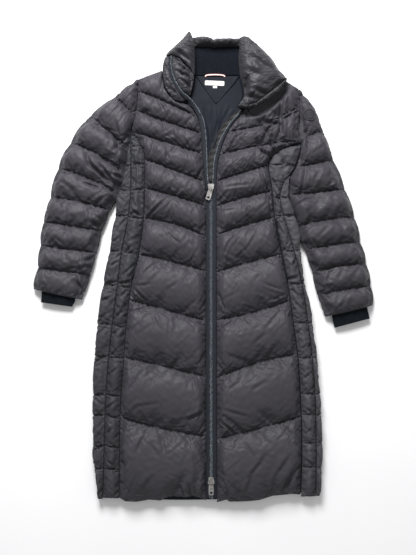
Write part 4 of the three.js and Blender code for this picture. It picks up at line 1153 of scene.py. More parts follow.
def body_panels(table: dict[str, Seam]) -> tuple[Panel, ...]:
    """The two fronts, quilted in chevrons that fall towards the zip, and their side panels."""
    rows_right = (
        Row(508, 441, 36, via=((0.34, -117, 532), (0.46, -116, 512), (0.58, -111, 484), (0.7, -98, 461),
        (0.82, -82.5, 447.5))),
        *rows(
            (476, 403, 40, -5), (427, 366, 42, 4), (368, 311, 43), (298, 239, 44), (223, 177, 44, -2),
            (147, 99, 45, -8), (56, 13, 45, -2), (-58, -110, 46), (-199, -246, 46, -2),
            (-341, -386, 47, 5), (-530, -535, 40, 2, 21, 20)))
    rows_left = (
        Row(483, 432, 34, via=((0.15, 200.5, 502.5), (0.34, 177, 484.5), (0.46, 162, 472),
        (0.58, 147.5, 460), (0.7, 133.5, 449), (0.82, 120, 438.5), (0.95, 104, 432))),
        *rows(
            (436, 371, 38, 14), (345, 309, 42, -6), (283, 241, 43), (216, 177, 44, -2), (149, 104, 45, -2),
            (56, 11, 45, -2), (-58, -107, 46, 6), (-190, -248, 46, -7), (-339, -393, 47, 2),
            (-522, -536, 40, 3, 21, 20)))
    side_rows_right = rows(
        (358, 358, 29, 0, 21, 20), (332, 330, 31), (285, 285, 33), (218, 218, 35), (149, 144, 36),
        (61, 56, 36), (-24, -29, 36), (-120, -127, 36), (-198, -200, 36), (-289, -293, 35),
        (-336, -346, 36), (-409, -414, 35), (-461, -465, 36), (-530, -531, 32, 0, 21, 20))
    side_rows_left = rows(
        (333, 330, 33, 0, 22, 20), (280, 284, 30), (236, 241, 31), (198, 198, 34), (152, 152, 36),
        (63, 61, 36), (-19, -19, 36), (-115, -115, 36), (-200, -200, 36), (-287, -286, 35),
        (-336, -336, 36), (-403, -402, 35), (-459, -458, 36), (-526, -527, 32, 0, 21, 20))
    return (
        Panel("front_right", rows_right, table["princess_right"].moved(GAP), table["opening_right"],
              hem=((-210, 0), (-196, -7), (-168, -6.5), (-139, 0), (-113, -2), (-101, 5), (-84, 9), (-53, 7),
                   (-34, 10), (-17, 5), (-5, -1))),
        Panel("front_left", rows_left,
              between(table["armhole_left"].moved(-GAP), 344, table["princess_left"].moved(-GAP)),
              table["opening_left"],
              hem=((21, -4), (44, 2), (50, -3), (91, -4), (122, -3), (134, 0), (158, 5), (190, 6), (218, 0))),
        Panel("side_front_right", side_rows_right, table["side_right"].moved(GAP),
              table["princess_right"].moved(-GAP), line=24.0, cell=4.2),
        Panel("side_front_left", side_rows_left, table["side_left"].moved(-GAP),
              table["princess_left"].moved(3 * GAP), line=24.0, cell=4.2),
    )


@dataclass(frozen=True)
class RolledPanel:
    """A side back panel that rolls over the coat's outline and rests on the surface with a narrow lip."""

    panel: Panel
    lip: Curve

    def cloth(self) -> Cloth:
        """Lays the panel out as a ring: the roll, the upper side and the plain underside."""
        down, across, lines = self.panel.stops()
        turns = np.linspace(-0.42 * np.pi, 0.5 * np.pi, 8)
        rings = []
        for k, t in down:
            upper = [self.panel.point(k, t, float(u)) for u in across]
            y = float(upper[0][1])
            edge, lip = self.panel.outer(y), self.lip(y)
            puff = max(math.sin(math.pi * t), 0.0) ** self.panel.puff
            join = self.panel.point(k, t, 0.22)
            reach = join[0] - edge
            middle = 12.0 + 1.5 * puff
            roll = []
            for turn in turns[:-1]:
                x = edge + reach * (1 - math.cos(turn)) + (1 - puff) * 1.6 * math.copysign(1.0, lip - edge)
                z = middle + (middle if turn < 0 else join[2] - middle) * math.sin(turn)
                roll.append((x, y, max(z, 0.6)))
            inner = [point for point, u in zip(upper, across) if u >= 0.22]
            last = inner[-1][0]
            rings.append([(lip, y, 0.0), (edge + (lip - edge) * 0.6, y, 0.0), *roll, *inner,
                          (last, y, UPPER_BASE), (lip, y, UPPER_BASE)])
        grid = np.array([[tuple(point) for point in ring] for ring in rings])
        sewn = np.zeros(grid.shape[:2], bool)
        sewn[lines] = True
        sewn[:, [0, 1, -3, -2, -1]] = True
        return Cloth(self.panel.name, grid, sewn, Closing.RING, reach=3.0, lines=lines)


def rolled_panels(table: dict[str, Seam]) -> tuple[RolledPanel, ...]:
    """The two side back panels."""
    rows_right = rows(
        (338, 338, 27), (280, 280, 30), (216, 216, 33), (152, 152, 34), (63, 63, 34), (-23, -23, 34),
        (-118, -118, 34), (-197, -197, 34), (-289, -289, 33), (-337, -337, 34), (-410, -410, 33),
        (-462, -462, 34), (-532, -532, 30, 0, 22, 21))
    rows_left = rows(
        (254, 254, 27), (198, 198, 31), (152, 152, 33), (65, 65, 33), (-18, -18, 31), (-115, -115, 32),
        (-200, -200, 32), (-287, -287, 32), (-336, -336, 33), (-403, -403, 32), (-459, -459, 33),
        (-525, -525, 29, 0, 22, 21))
    right, left = table["outline_right"], table["outline_left"]
    side_right, side_left = table["side_right"], table["side_left"]
    return (
        RolledPanel(Panel("side_back_right", rows_right, right, side_right.moved(-GAP), edge=24.0, cell=4.2),
                    lip_line(table, "right")),
        RolledPanel(Panel("side_back_left", rows_left, left, side_left.moved(GAP), edge=24.0, cell=4.2),
                    lip_line(table, "left")),
    )


@dataclass(frozen=True)
class Sleeve:
    """A flattened quilted tube whose mouth takes the cuff."""

    panel: Panel
    side: float = 11.0
    tuck: float = 9.0
    groove: float = 3.5

    def cloth(self) -> Cloth:
        """Lays the sleeve out as a ring of its upper side, its roll and its underside."""
        down, across, lines = self.panel.stops()
        under = eased(max(8, len(across) * 2 // 3), 0.5)[1:-1]
        rings = []
        for k, t in down:
            upper = [self.panel.point(k, t, float(u)) for u in across]
            first, last = upper[0], upper[-1]
            width = float(np.hypot(*(first - last)[:2]))
            puff = max(math.sin(math.pi * t), 0.0) ** self.panel.puff
            lower = []
            for w in under:
                share = min(1.0, min(w, 1 - w) * width / min(self.tuck, width / 3))
                place = last * (1 - w) + first * w
                z = self.side * (1 - math.sin(share * math.pi / 2)) + self.groove * (1 - puff) * share
                lower.append((place[0], place[1], z))
            rings.append([tuple(point) for point in upper] + lower)
        grid = np.array(rings)
        sewn = np.zeros(grid.shape[:2], bool)
        sewn[lines] = True
        sewn[:, len(across) + 1:-1] = True
        return Cloth(self.panel.name, self._with_mouth(grid), self._longer(sewn), Closing.RING, lines=lines,
                     reach=5.0, spare=0.05)

    def _with_mouth(self, grid: np.ndarray) -> np.ndarray:
        """Turns the sleeve's end in around the cuff."""
        end, before = grid[-1], grid[-2]
        way = end - before
        way[:, 2] = 0.0
        way /= np.maximum(np.linalg.norm(way, axis=1, keepdims=True), 1e-6)
        lip, inside = end + way * 1.5, end - way * 9.0
        lip[:, 2] = TUBE_MIDDLE + (end[:, 2] - TUBE_MIDDLE) * 0.72
        inside[:, 2] = TUBE_MIDDLE + (end[:, 2] - TUBE_MIDDLE) * 0.46
        return np.concatenate([grid, lip[None], inside[None]])

    def _longer(self, sewn: np.ndarray) -> np.ndarray:
        """Keeps the turned-in end sewn."""
        return np.concatenate([sewn, np.ones((2, sewn.shape[1]), bool)])


def sleeves(table: dict[str, Seam]) -> tuple[Sleeve, ...]:
    """The two sleeves."""
    outer_right = Seam((
        (511, -181.5), (465, -239), (415, -299), (342, -349), (276, -378), (200, -396), (138, -411),
        (79, -417), (22, -422), (-29, -432)))
    outer_left = Seam((
        (480, 235.5), (429, 271), (371, 294), (298, 317), (221, 344), (150, 366), (87, 379), (33, 392),
        (-23, 402), (-69, 407)))
    rows_right = (
        Row(510, 507, 34, edge=19),
        *rows(
            (465, 411, 42), (415, 332, 44, 6), (342, 267, 42, -6), (276, 212, 40, -4), (200, 167, 40, -4),
            (138, 114, 40), (79, 60, 39, 2), (22, 4, 36), (-29, -55, 24, 2, 23)))
    rows_left = (
        Row(482, 480, 36, edge=19),
        *rows(
            (371, 342, 42, -6), (298, 277, 43, 2), (221, 206, 42, 1), (150, 127, 42, -3), (87, 65, 41, -3),
            (33, 12, 41, -2), (-23, -46, 38, -2), (-69, -97, 24, 2, 23)))
    return (
        Sleeve(Panel("sleeve_right", rows_right, outer_right, table["armhole_right"].moved(0.8), edge=11.0,
                     swell=3.0)),
        Sleeve(Panel("sleeve_left", rows_left, outer_left, table["armhole_left"].moved(-0.8), edge=11.0,
                     swell=3.0)),
    )


def collar_panels(table: dict[str, Seam]) -> tuple[tuple[Panel, float], ...]:
    """The collar's two rolled ends and its top band, each with the height of its underside."""
    outline, chain, ridge = table["collar_outline_right"], table["chain_right"], table["ridge_right"]
    return (
        (Panel("collar_edge_right", (
            Row(561, 560, 42), Row(538, 537, 42), Row(510, 500, 41), Row(480, 474, 38, 0, 36, 34),
            Row(450, 455, 33, 0, 30, 29, ((0.5, -65, 447),)),
        ), outline, chain.moved(-GAP / 2), 36.0, 39.0, cell=3.2, smooth=True), UPPER_BASE),
        (Panel("collar_facing_right", (
            Row(561, 561, 42), Row(545, 546, 46), Row(525, 528, 47), Row(500, 504, 45),
            Row(478, 482, 40, 0, 36, 34), Row(462, 464, 34, 0, 31, 30),
        ), chain.moved(GAP / 2), ridge.moved(-GAP), 38.0, 42.0, cell=3.2, smooth=True), UPPER_BASE),
        (Panel("collar_right", (
            Row(630, 628, 42, 0, 38), Row(612, 612, 52), Row(591, 590, 56, 0, 52),
            Row(566, 514, 50, 0, 46, 38,
                ((0.2, -93, 565), (0.4, -73, 559.5), (0.6, -60, 546.5), (0.8, -46, 532))),
        ), outline, table["roll_right"], 34.0, 44.0, cell=3.2, smooth=True), UPPER_BASE),
        (Panel("collar_left", (
            Row(615, 614, 50, 0, 40, None, ((0.5, 92, 616),)), Row(590, 588, 58), Row(553, 548, 60),
            Row(521, 508, 56), Row(507, 472, 53, 0, 48, None, ((0.5, 147, 486),)),
            Row(504, 436, 50, 0, 42, 40,
                ((0.1, 190, 495.5), (0.3, 168, 478), (0.55, 138, 454.5), (0.78, 112, 436), (0.92, 92, 434.6))),
        ), table["collar_outline_left"], table["roll_left"], 34.0, 46.0, cell=3.4, smooth=True), UPPER_BASE),
        (Panel("collar_edge_left", (
            Row((199.5, 502.5), (199, 496.5), 47), Row((176, 483.2), (181, 470), 47),
            Row((147.5, 460), (152, 448.5), 47), Row((119.5, 438), (121, 429.5), 47),
            Row((103, 433.4), (103, 425.5), 47), Row((79, 434.6), (74, 427), 45),
        ), edge=41.0, line=46.0, cell=3.0, slack=0.0), 36.0),
        (Panel("collar_band", (
            Row((-39.8, 619.5), (82.5, 618), 40,
                via=((0.1, -24, 621.5), (0.3, -2, 621), (0.45, 8, 617), (0.52, 14, 612), (0.6, 21, 615),
                     (0.8, 50, 615.5))),
            Row((-33.8, 597), (81, 597), 40, via=((0.3, 0, 599), (0.52, 15, 596), (0.8, 56, 599))),
        ), edge=24.0, line=24.0, cell=3.0, slack=1.0), UPPER_BASE),
    )


FOLDS: dict[str, tuple[tuple[float | tuple[Place, ...], ...], ...]] = {
    "sleeve_right": (
        (9.0, 5.0, ((-306, 308), (-296, 280), (-228, 224))), (8.0, 4.0, ((-274, 282), (-226, 226)),
        ((-215, 344), (-227, 331), (-222, 311))), (7.0, 4.0, ((-269, 302), (-213, 262))), (5.0, 4.0,
        ((-246, 255), (-211, 250)), ((-267, 225), (-245, 216), (-225, 214))), (8.0, 4.5,
        ((-238, 357), (-225, 334), (-235, 316))), (4.0, 3.5, ((-231, 388), (-225, 360), (-227, 334)),
        ((-312, 234), (-294, 228), (-271, 221))), (6.0, 6.0, ((-313, 13), (-287, -36))), (5.0, 5.0,
        ((-332, -11), (-292, -50))), (2.0, 5.0, ((-367, 239), (-330, 208)), ((-300, 395), (-270, 372))),
        (2.0, 4.0, ((-383, 98), (-358, 80))), (8.0, 6.0, ((-292, 134), (-276, 129), (-250, 124))), (3.0,
        4.0, ((-279, 149), (-265, 140), (-252, 137)), ((-288, 171), (-273, 187), (-253, 200))), (4.0, 5.0,
        ((-307, 33), (-290, 44), (-272, 55))), (3.5, 4.0, ((-320, 15), (-302, 24), (-281, 24))), (4.0, 6.0,
        ((-330, -2), (-319, -20), (-314, -51))), (1.4, 3.0, ((-383, 82), (-365, 70)),
        ((-342, 44), (-337, 24))), (1.6, 3.0, ((-406, -16), (-395, -29)),
        ((-354, 155), (-349, 144), (-353, 131))), (1.5, 3.0, ((-331, 113), (-317, 99)),
        ((-282, 99), (-271, 108)))),
    "front_right": (
        (2.6, 3.0, ((-125, 443), (-109, 420)), ((-91, 420), (-112, 398)), ((-20, 241), (-8, 213))), (2.8,
        3.0, ((-118, 398), (-105, 365))), (2.4, 3.0, ((-133, 343), (-142, 311)),
        ((-43, 121), (-30, 100), (-5, 91))), (3.2, 3.0, ((-10, 280), (-31, 244))), (2.4, 3.5,
        ((-64, 222), (-87, 200)), ((-44, -236), (-36, -252), (-32, -270))), (2.8, 3.5,
        ((-98, 193), (-150, 149))), (2.0, 3.5, ((-100, 334), (-105, 272))), (2.0, 2.6,
        ((-90, 373), (-83, 349)), ((-60, 349), (-45, 323))), (9.0, 4.0,
        ((-175, 334), (-168, 306), (-172, 284))), (4.0, 4.0, ((-56, -347), (-28, -336), (-5, -326))), (3.0,
        3.5, ((-20, -392), (-13, -380), (-3, -371))), (4.5, 7.0, ((-32, -396), (-14, -423), (-5, -453))),
        (5.0, 8.0, ((-32, -426), (-22, -465), (-28, -499))), (4.0, 8.0,
        ((-52, -468), (-67, -499), (-82, -518))), (4.5, 3.5, ((-67, -500), (-55, -527)),
        ((-46, -495), (-42, -523))), (2.0, 6.0, ((-205, -426), (-199, -468), (-196, -506))), (2.4, 5.0,
        ((-169, -423), (-157, -396), (-146, -376))), (2.0, 4.0, ((-115, -376), (-107, -400), (-102, -423)),
        ((-197, -407), (-186, -376))), (1.6, 4.0, ((-92, -228), (-78, -209), (-69, -193)),
        ((-186, -330), (-167, -314), (-119, -307)), ((-134, -95), (-121, -128))), (1.6, 5.0,
        ((-138, -400), (-118, -430))), (2.0, 5.0, ((-153, -506), (-130, -476))), (1.8, 3.0,
        ((-153, 145), (-128, 169), (-105, 191)), ((-102, 109), (-85, 91), (-68, 79)),
        ((-181, -24), (-156, -24), (-135, -19)), ((-42, -103), (-26, -116), (-5, -124))), (1.6, 2.6,
        ((-77, 195), (-60, 208))), (1.5, 3.0, ((-160, -2), (-148, 15), (-127, 32)),
        ((-188, -137), (-167, -116))), (3.0, 3.0, ((-185, -28), (-168, -45), (-151, -61))), (2.0, 3.0,
        ((-189, -36), (-180, -61), (-176, -70))), (1.4, 3.0, ((-101, -36), (-76, -19))), (1.6, 3.0,
        ((-43, 36), (-26, 66)), ((-47, 96), (-43, 74)))),
    "front_left": (
        (12.0, 9.0, ((206, 487), (180, 458), (152, 436), (122, 420), (100, 418))), (8.0, 6.0,
        ((176, 448), (150, 427), (124, 413), (104, 410))), (7.0, 4.5,
        ((133, 412), (143, 396), (183, 388), (187, 360)),
        ((189, 458), (184, 419), (185, 375), (171, 341))), (7.0, 4.0, ((123, 347), (137, 316), (165, 295)),
        ((126, 399), (150, 367), (135, 329))), (6.0, 4.0, ((158, 341), (167, 311), (182, 290))), (5.0, 3.5,
        ((132, 269), (136, 244), (150, 213), (146, 191)), ((186, 399), (222, 420))), (2.4, 3.0,
        ((108, 228), (74, 225), (38, 219)), ((35, -392), (45, -378), (52, -369))), (2.8, 3.0,
        ((78, 113), (50, 79), (37, 49), (33, 19))), (6.0, 3.5, ((181, 399), (150, 373), (135, 341))), (4.0,
        3.0, ((76, 383), (60, 357), (40, 322)), ((31, -353), (50, -365), (66, -384))), (3.0, 2.6,
        ((92, 369), (76, 352))), (1.8, 3.5, ((90, -400), (97, -415), (107, -432))), (2.2, 5.0,
        ((105, -468), (123, -447), (140, -423)), ((159, -476), (177, -453), (193, -430)),
        ((127, -222), (147, -193), (165, -165))), (6.0, 7.0, ((178, -508), (194, -484), (211, -457))),
        (2.5, 5.0, ((147, -518), (153, -499), (159, -480))), (2.0, 4.0,
        ((27, -445), (31, -465), (39, -480))), (3.0, 4.0, ((42, -500), (50, -527))), (2.6, 5.0,
        ((89, -519), (97, -495), (105, -468))), (1.8, 4.5, ((91, -236), (107, -212), (123, -189)),
        ((137, -132), (158, -107), (183, -82))), (1.5, 4.0, ((106, -275), (138, -256)),
        ((51, -275), (75, -256))), (1.6, 4.0, ((31, -322), (62, -330), (94, -339))), (1.6, 3.0,
        ((75, 49), (101, 74), (120, 109)), ((118, 156), (136, 173), (153, 191)),
        ((29, -132), (54, -116), (75, -99))), (1.8, 3.0, ((33, 160), (55, 163), (67, 165)),
        ((25, 186), (51, 213)), ((83, -103), (99, -124)), ((188, -45), (163, -57), (146, -61)),
        ((25, -36), (33, -61))), (1.6, 5.0, ((107, -170), (145, -137))), (2.6, 3.0,
        ((184, -36), (155, -28), (134, -19))), (3.0, 3.0, ((140, 217), (153, 191), (157, 156))), (1.5, 3.0,
        ((93, 96), (110, 126)))),
    "sleeve_left": (
        (4.0, 4.0, ((252, 379), (245, 357), (242, 336)), ((247, 273), (238, 233), (228, 196))), (5.0, 4.5,
        ((240, 425), (241, 374), (243, 334))), (5.0, 4.0, ((245, 316), (226, 277))), (2.4, 4.0,
        ((279, 264), (260, 224))), (2.0, 3.5, ((300, 125), (270, 93)), ((335, 18), (317, -11)),
        ((214, 171), (239, 188), (269, 196))), (1.6, 4.0, ((241, 126), (258, 154))), (1.6, 3.0,
        ((277, 43), (266, 20)), ((287, -18), (295, -2))), (1.6, 5.0, ((339, -23), (364, 9), (384, 37))),
        (1.5, 4.0, ((315, -81), (338, -62))), (1.5, 3.0, ((245, 51), (258, 54))), (1.8, 3.0,
        ((265, -34), (278, -40))), (2.0, 3.0, ((251, 261), (263, 279))), (1.4, 5.0,
        ((331, 131), (336, 87)), ((311, 205), (313, 171)))),
    "side_front_right": (
        (5.0, 3.5, ((-187, 300), (-182, 259), (-186, 225))), (5.0, 3.0, ((-175, 300), (-172, 260))), (3.0,
        3.5, ((-172, 215), (-167, 171))), (3.0, 3.0, ((-189, 197), (-182, 171)), ((-205, 58), (-190, 76)),
        ((-220, -18), (-195, -14)), ((-215, -52), (-199, -35))), (4.0, 3.0,
        ((-193, 153), (-184, 162), (-171, 153))), (3.2, 3.0, ((-214, -1), (-195, 16), (-178, 33))), (2.6,
        3.0, ((-228, -103), (-210, -86)), ((-234, -145), (-214, -128))), (2.4, 3.0,
        ((-236, -194), (-218, -178)), ((-240, -240), (-222, -226)), ((-242, -318), (-226, -306)),
        ((-244, -380), (-228, -364)), ((-244, -440), (-226, -452)))),
    "side_front_left": (
        (5.0, 3.5, ((182, 305), (196, 280))), (4.0, 3.0, ((160, 250), (176, 215))), (3.0, 3.0,
        ((167, 215), (179, 184)), ((207, 24), (220, 46))), (2.6, 3.0, ((170, 136), (187, 101))), (3.4, 3.0,
        ((196, -6), (222, -1))), (3.0, 4.0, ((204, -27), (226, -61))), (2.8, 4.0,
        ((212, -61), (230, -86))), (2.4, 3.0, ((212, -145), (229, -128)), ((226, -180), (242, -166)),
        ((230, -250), (248, -236)), ((232, -318), (250, -330)), ((234, -380), (250, -366)),
        ((232, -440), (250, -452)))),
    "side_back_right": (
        (2.6, 3.0, ((-218, 127), (-203, 145)), ((-234, 84), (-222, 97)), ((-240, 24), (-226, 37))), (2.8,
        3.0, ((-249, -18), (-228, -14))), (2.4, 3.0, ((-261, -61), (-240, -52)),
        ((-265, -103), (-244, -90)), ((-268, -145), (-252, -128)), ((-272, -210), (-254, -196)),
        ((-270, -300), (-256, -312)), ((-270, -420), (-254, -408)))),
    "collar_right": (
        (3.0, 5.0, ((-80, 575), (-45, 545))), (2.0, 6.0, ((-60, 600), (-42, 570))), (1.6, 6.0,
        ((-100, 572), (-72, 596)))),
    "collar_facing_right": (
        (5.0, 3.0, ((-80, 545), (-50, 520))), (5.5, 3.0, ((-78, 522), (-46, 505))), (6.0, 5.0,
        ((-46, 524), (-42, 500), (-47, 480))), (5.0, 4.0, ((-58, 552), (-50, 532))), (4.0, 3.0,
        ((-70, 500), (-44, 482)), ((-60, 532), (-66, 508))), (3.0, 3.0, ((-84, 556), (-64, 540)))),
    "collar_left": (
        (5.0, 5.0, ((115, 470), (150, 462))), (4.5, 4.5, ((96, 458), (125, 448))), (3.0, 7.0,
        ((100, 560), (140, 530), (165, 520))), (2.5, 7.0, ((96, 520), (130, 505))), (7.0, 4.5,
        ((99, 503), (94, 470))), (2.0, 8.0, ((110, 590), (104, 545), (112, 500))), (3.0, 4.0,
        ((100, 448), (120, 462)))),
    "collar_edge_right": (
        (2.4, 3.0, ((-110, 540), (-100, 520)), ((-104, 500), (-90, 480))), (3.0, 4.0,
        ((-104, 486), (-78, 462)))),
}


def hand_folds() -> dict[str, tuple[Crease, ...]]:
    """The coat's larger folds, laid where the photograph shows them."""
    return {name: creases(table) for name, table in FOLDS.items()}


# The neck, the cuffs and the zip

@dataclass(frozen=True)
class Shell:
    """A thin sheet of cloth with a plain underside, laid on what carries it."""

    name: str
    finish: Finish
    thickness: float
    flat: tuple[float, float]
    area: float
    rests_on: str

    def piece(self, upper: np.ndarray, under: float | None = None) -> bpy.types.Object:
        """Makes the sheet.

        Args:
            upper: Its upper side, as a grid of points.
            under: The height of a level underside, or none for one that follows the upper side.

        Returns:
            The new piece.
        """
        rows, columns = upper.shape[:2]
        lower = upper.copy()
        lower[..., 2] = upper[..., 2] - self.thickness if under is None else under
        points = np.concatenate([upper.reshape(-1, 3), lower.reshape(-1, 3)])
        top = skin(rows, columns, False)
        a, b, _, d = top[0]
        if np.cross(points[b] - points[a], points[d] - points[a])[2] < 0:
            top = turned(top)
        offset = rows * columns
        bottom = [tuple(offset + i for i in face[::-1]) for face in top]
        rim = border(rows, columns)
        edges = {(face[k], face[(k + 1) % 4]) for face in top for k in range(4)}
        if (rim[0], rim[1]) not in edges:
            rim = rim[::-1]
        walls = [(rim[i], offset + rim[i], offset + rim[(i + 1) % len(rim)], rim[(i + 1) % len(rim)])
                 for i in range(len(rim))]
        made = mesh_object(f"{self.name}_cloth", points, top + bottom + walls, [self.finish], len(walls))
        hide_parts(self.name)
        return made


def ruled(rows: Sequence[tuple[float, float, float]], height: float, cell: float) -> np.ndarray:
    """A level grid between a left and a right edge that are given down a table.

    Args:
        rows: y, and x at both edges.
        height: The grid's height.
        cell: About how far apart its points are.

    Returns:
        The grid, from the top down.
    """
    table = np.array(rows, float)
    count = max(4, round((table[0, 0] - table[-1, 0]) / cell))
    ys = np.linspace(table[0, 0], table[-1, 0], count + 1)
    left = np.interp(-ys, -table[:, 0], table[:, 1])
    right = np.interp(-ys, -table[:, 0], table[:, 2])
    across = np.linspace(0.0, 1.0, max(4, round(float(np.mean(right - left)) / cell)) + 1)
    xs = left[:, None] + (right - left)[:, None] * across
    return np.stack([xs, np.broadcast_to(ys[:, None], xs.shape), np.full(xs.shape, height)], -1)


@dataclass
class Neck:
    """What shows in the open neck: jersey, lining, facing, blank labels and the hanger loop."""

    lining_top: float = 16.9
    facing_top: float = 18.4
    jersey_top: float = 17.5
    flap_top: float = 19.0

    def make(self) -> None:
        """Makes every piece in the neck."""
        self.jersey()
        self.lining()
        self.facing()
        self.flap()
        self.label("neck_label", (50.0, 13.0), 3.0, LABEL_PLACE, -2.5)
        self.label("size_tab", (11.0, 6.0), 1.0, (18.0, 488.5), 0.0)
        self.loop()

    def jersey(self) -> None:
        """The soft knit behind the neck, gathered a little towards its lower seam."""
        grid = ruled(((595, -32, 78), (570, -32, 77.5), (545, -32, 79), (520.5, -32.5, 80)),
                     self.jersey_top, 2.5)
        x, y = grid[..., 0], grid[..., 1]
        lower = np.clip((560 - y) / 40, 0, 1)
        gathers = lower * 0.7 * np.sin(x / 5.2 + 0.7 * np.sin(x / 19))
        grid[..., 2] += 0.5 + gathers + 0.8 * np.sin(y / 17 + x / 60)
        Shell("collar_jersey", JERSEY_KNIT, 1.8, (0.115, 0.078), 0.0085, "collar_back").piece(grid, 15.7)

    def lining(self) -> None:
        """The body lining, with a few long folds that run down from the facing."""
        grid = ruled((
            (518.4, -33, 81.5), (500, -36, 85.5), (480, -39.5, 90.5), (463, -45, 90.5), (450, -46, 85),
            (437, -44, 75), (434, -42, 77), (430.5, -39, 90), (411, -28, 78.5), (396, -22.4, 66),
            (381, -20, 55), (355, -15.5, 42), (336, -14.5, 35), (300, -12.2, 26), (281, -11.2, 22.5), (245, -7.6, 20),
            (215, -4, 20)), self.lining_top, 2.6)
        folds = creases((
            (-2.6, 5.0, ((-30, 440), (-8, 390), (2, 330))), (-3.0, 6.0, ((30, 440), (24, 380), (10, 300))),
            (-2.4, 5.0, ((62, 428), (40, 385), (16, 330))), (-1.6, 4.0, ((5, 440), (8, 400))),
            (-2.8, 4.0, ((18, 446), (19, 400), (9, 352))), (-2.4, 3.5, ((-20, 470), (-14, 420), (-6, 380))),
            (-2.2, 3.5, ((58, 466), (46, 430), (34, 400)))))
        flat = grid.reshape(-1, 3)
        free = np.clip((446 - flat[:, 1]) / 18, 0, 1) * np.clip((flat[:, 1] - 240) / 40, 0, 1)
        rise = np.zeros(len(flat))
        for fold in folds:
            fold.press(flat[:, :2], rise)
        flat[:, 2] += np.maximum(rise, -0.8) * free
        Shell("lining", LINING, 1.2, (0.137, 0.304), 0.0222, "back").piece(grid, 15.7)

    def facing(self) -> None:
        """The V-shaped facing, raised a little along its edge."""
        grid = ruled(((518.4, -31.5, 81), (500, -18.9, 69.5), (472, 0.5, 44.5), (447, 18, 22)),
                     self.facing_top, 2.2)
        rows, columns = grid.shape[:2]
        side = np.minimum(np.arange(columns), np.arange(columns)[::-1])[None, :]
        grid[..., 2] += 0.5 * np.clip(1 - np.abs(side - 1) / 1.5, 0, 1) * np.linspace(1, 0.3, rows)[:, None]
        Shell("neck_facing", LINING, 1.2, (0.113, 0.072), 0.0043, "lining").piece(grid, 17.2)

    def second_lines(self) -> list[list[tuple[float, float, float]]]:
        """The sewn lines inside the facing's two edges."""
        right = ((-22, 514), (-11.5, 500), (8, 472), (18.8, 457))
        left = ((73, 514), (62.5, 500), (38.5, 472), (19.2, 457))
        return [[(x, y, self.facing_top + 0.1) for x, y in line] for line in (right, left)]

    def flap(self) -> None:
        """The flap behind the wearer's left half of the zip: a real piece of shell cloth, painted near-black as
        shade.
        """
        grid = ruled(((427, 78, 86.5), (411, 57.5, 77), (396, 44, 64.5), (381, 33, 53.5), (355, 18.5, 40.5),
                      (336, 10.5, 33.5), (316, 4, 28.6), (300, 0.5, 25), (281, -1.5, 21.7), (240, -3, 19)),
                     self.flap_top, 2.0)
        columns = grid.shape[1]
        across = np.linspace(0.0, 1.0, columns)[None, :]
        along = np.arange(grid.shape[0])[:, None]
        grid[..., 2] += 0.9 * np.exp(-(across / 0.12) ** 2) + 0.25 * np.sin(along * 0.7 + across * 3.0)
        # Its near-black finish is painted shade, not the cloth's own colour.
        Shell("wind_flap", FLAP_SHADE, 2.0, (0.024, 0.205), 0.0041, "lining").piece(grid, 17.2)

    def label(self, name: str, size: Place, corner: float, place: Place, degrees: float) -> None:
        """A blank woven label with rounded corners, domed by its folded edge.

        Args:
            name: The node it stands for.
            size: Its width and height.
            corner: The radius of its corners.
            place: Its middle.
            degrees: How far it is turned.
        """
        turns = np.linspace(0, 2 * np.pi, 33)[:-1]
        half = np.array(size) / 2
        rings = []
        for inset, z in ((0.0, 18.7), (0.0, 19.3), (0.5, 19.7), (1.6, 19.75), (3.0, 19.5)):
            radius = max(corner - inset, 0.2)
            inner = np.maximum(half - inset - radius, 0.1)
            ring = [(math.copysign(inner[0], math.cos(t)) + radius * math.cos(t),
                     math.copysign(inner[1], math.sin(t)) + radius * math.sin(t), z) for t in turns + 0.01]
            rings.append(ring)
        points = np.array(rings)
        angle = math.radians(degrees)
        laid = points.copy()
        laid[..., 0] = points[..., 0] * math.cos(angle) - points[..., 1] * math.sin(angle) + place[0]
        laid[..., 1] = points[..., 0] * math.sin(angle) + points[..., 1] * math.cos(angle) + place[1]
        ring_piece(f"{name}_cloth", laid, LABEL_CLOTH, name)

    def loop(self) -> None:
        """The hanger loop: a cream tape with a muted red line along each edge."""
        path = smooth_path(((-7, 516, 19.5), (-5.5, 518.8, 19.8), (0, 520.4, 20.3), (18, 521, 21.0),
                            (36, 520.2, 20.3), (41.5, 518.5, 19.8), (43, 515.5, 19.5)), 60)
        across = np.array([-2.2, -1.5, -1.4, 1.4, 1.5, 2.2])
        points = []
        ways = np.gradient(path, axis=0)
        ways[:, 2] = 0
        ways /= np.linalg.norm(ways, axis=1, keepdims=True)
        sides = np.stack([-ways[:, 1], ways[:, 0], np.zeros(len(ways))], 1)
        ring = [(s, 0.6) for s in across] + [(s, -0.6) for s in across[::-1]]
        for point, side in zip(path, sides):
            points += [point + side * s + np.array([0, 0, h]) for s, h in ring]
        count = len(ring)
        cloud = np.array(points)
        faces = capped(cloud, len(path), count)
        made = mesh_object("hanger_loop_tape", cloud, faces, [LOOP_CREAM, LOOP_RED])
        kinds = [0 if column in (2, 8) else 1 for column in range(count)] * (len(path) - 1)
        made.data.polygons.foreach_set("material_index", kinds + [0, 0])
        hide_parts("hanger_loop")


def smooth_path(points: Sequence[Sequence[float]], count: int) -> np.ndarray:
    """A smooth line through a few points, evenly divided.

    Args:
        points: The points, as x, y and z.
        count: How many stretches it gets.

    Returns:
        The points along it.
    """
    given = np.array(points, float)
    wide = np.concatenate([[2 * given[0] - given[1]], given, [2 * given[-1] - given[-2]]])
    dense = []
    for i in range(1, len(wide) - 2):
        p0, p1, p2, p3 = wide[i - 1:i + 3]
        for t in np.linspace(0, 1, 24, endpoint=False):
            dense.append(0.5 * (2 * p1 + (p2 - p0) * t + (2 * p0 - 5 * p1 + 4 * p2 - p3) * t ** 2
                                + (3 * p1 - p0 - 3 * p2 + p3) * t ** 3))
    dense.append(given[-1])
    return spaced(np.array(dense), count)


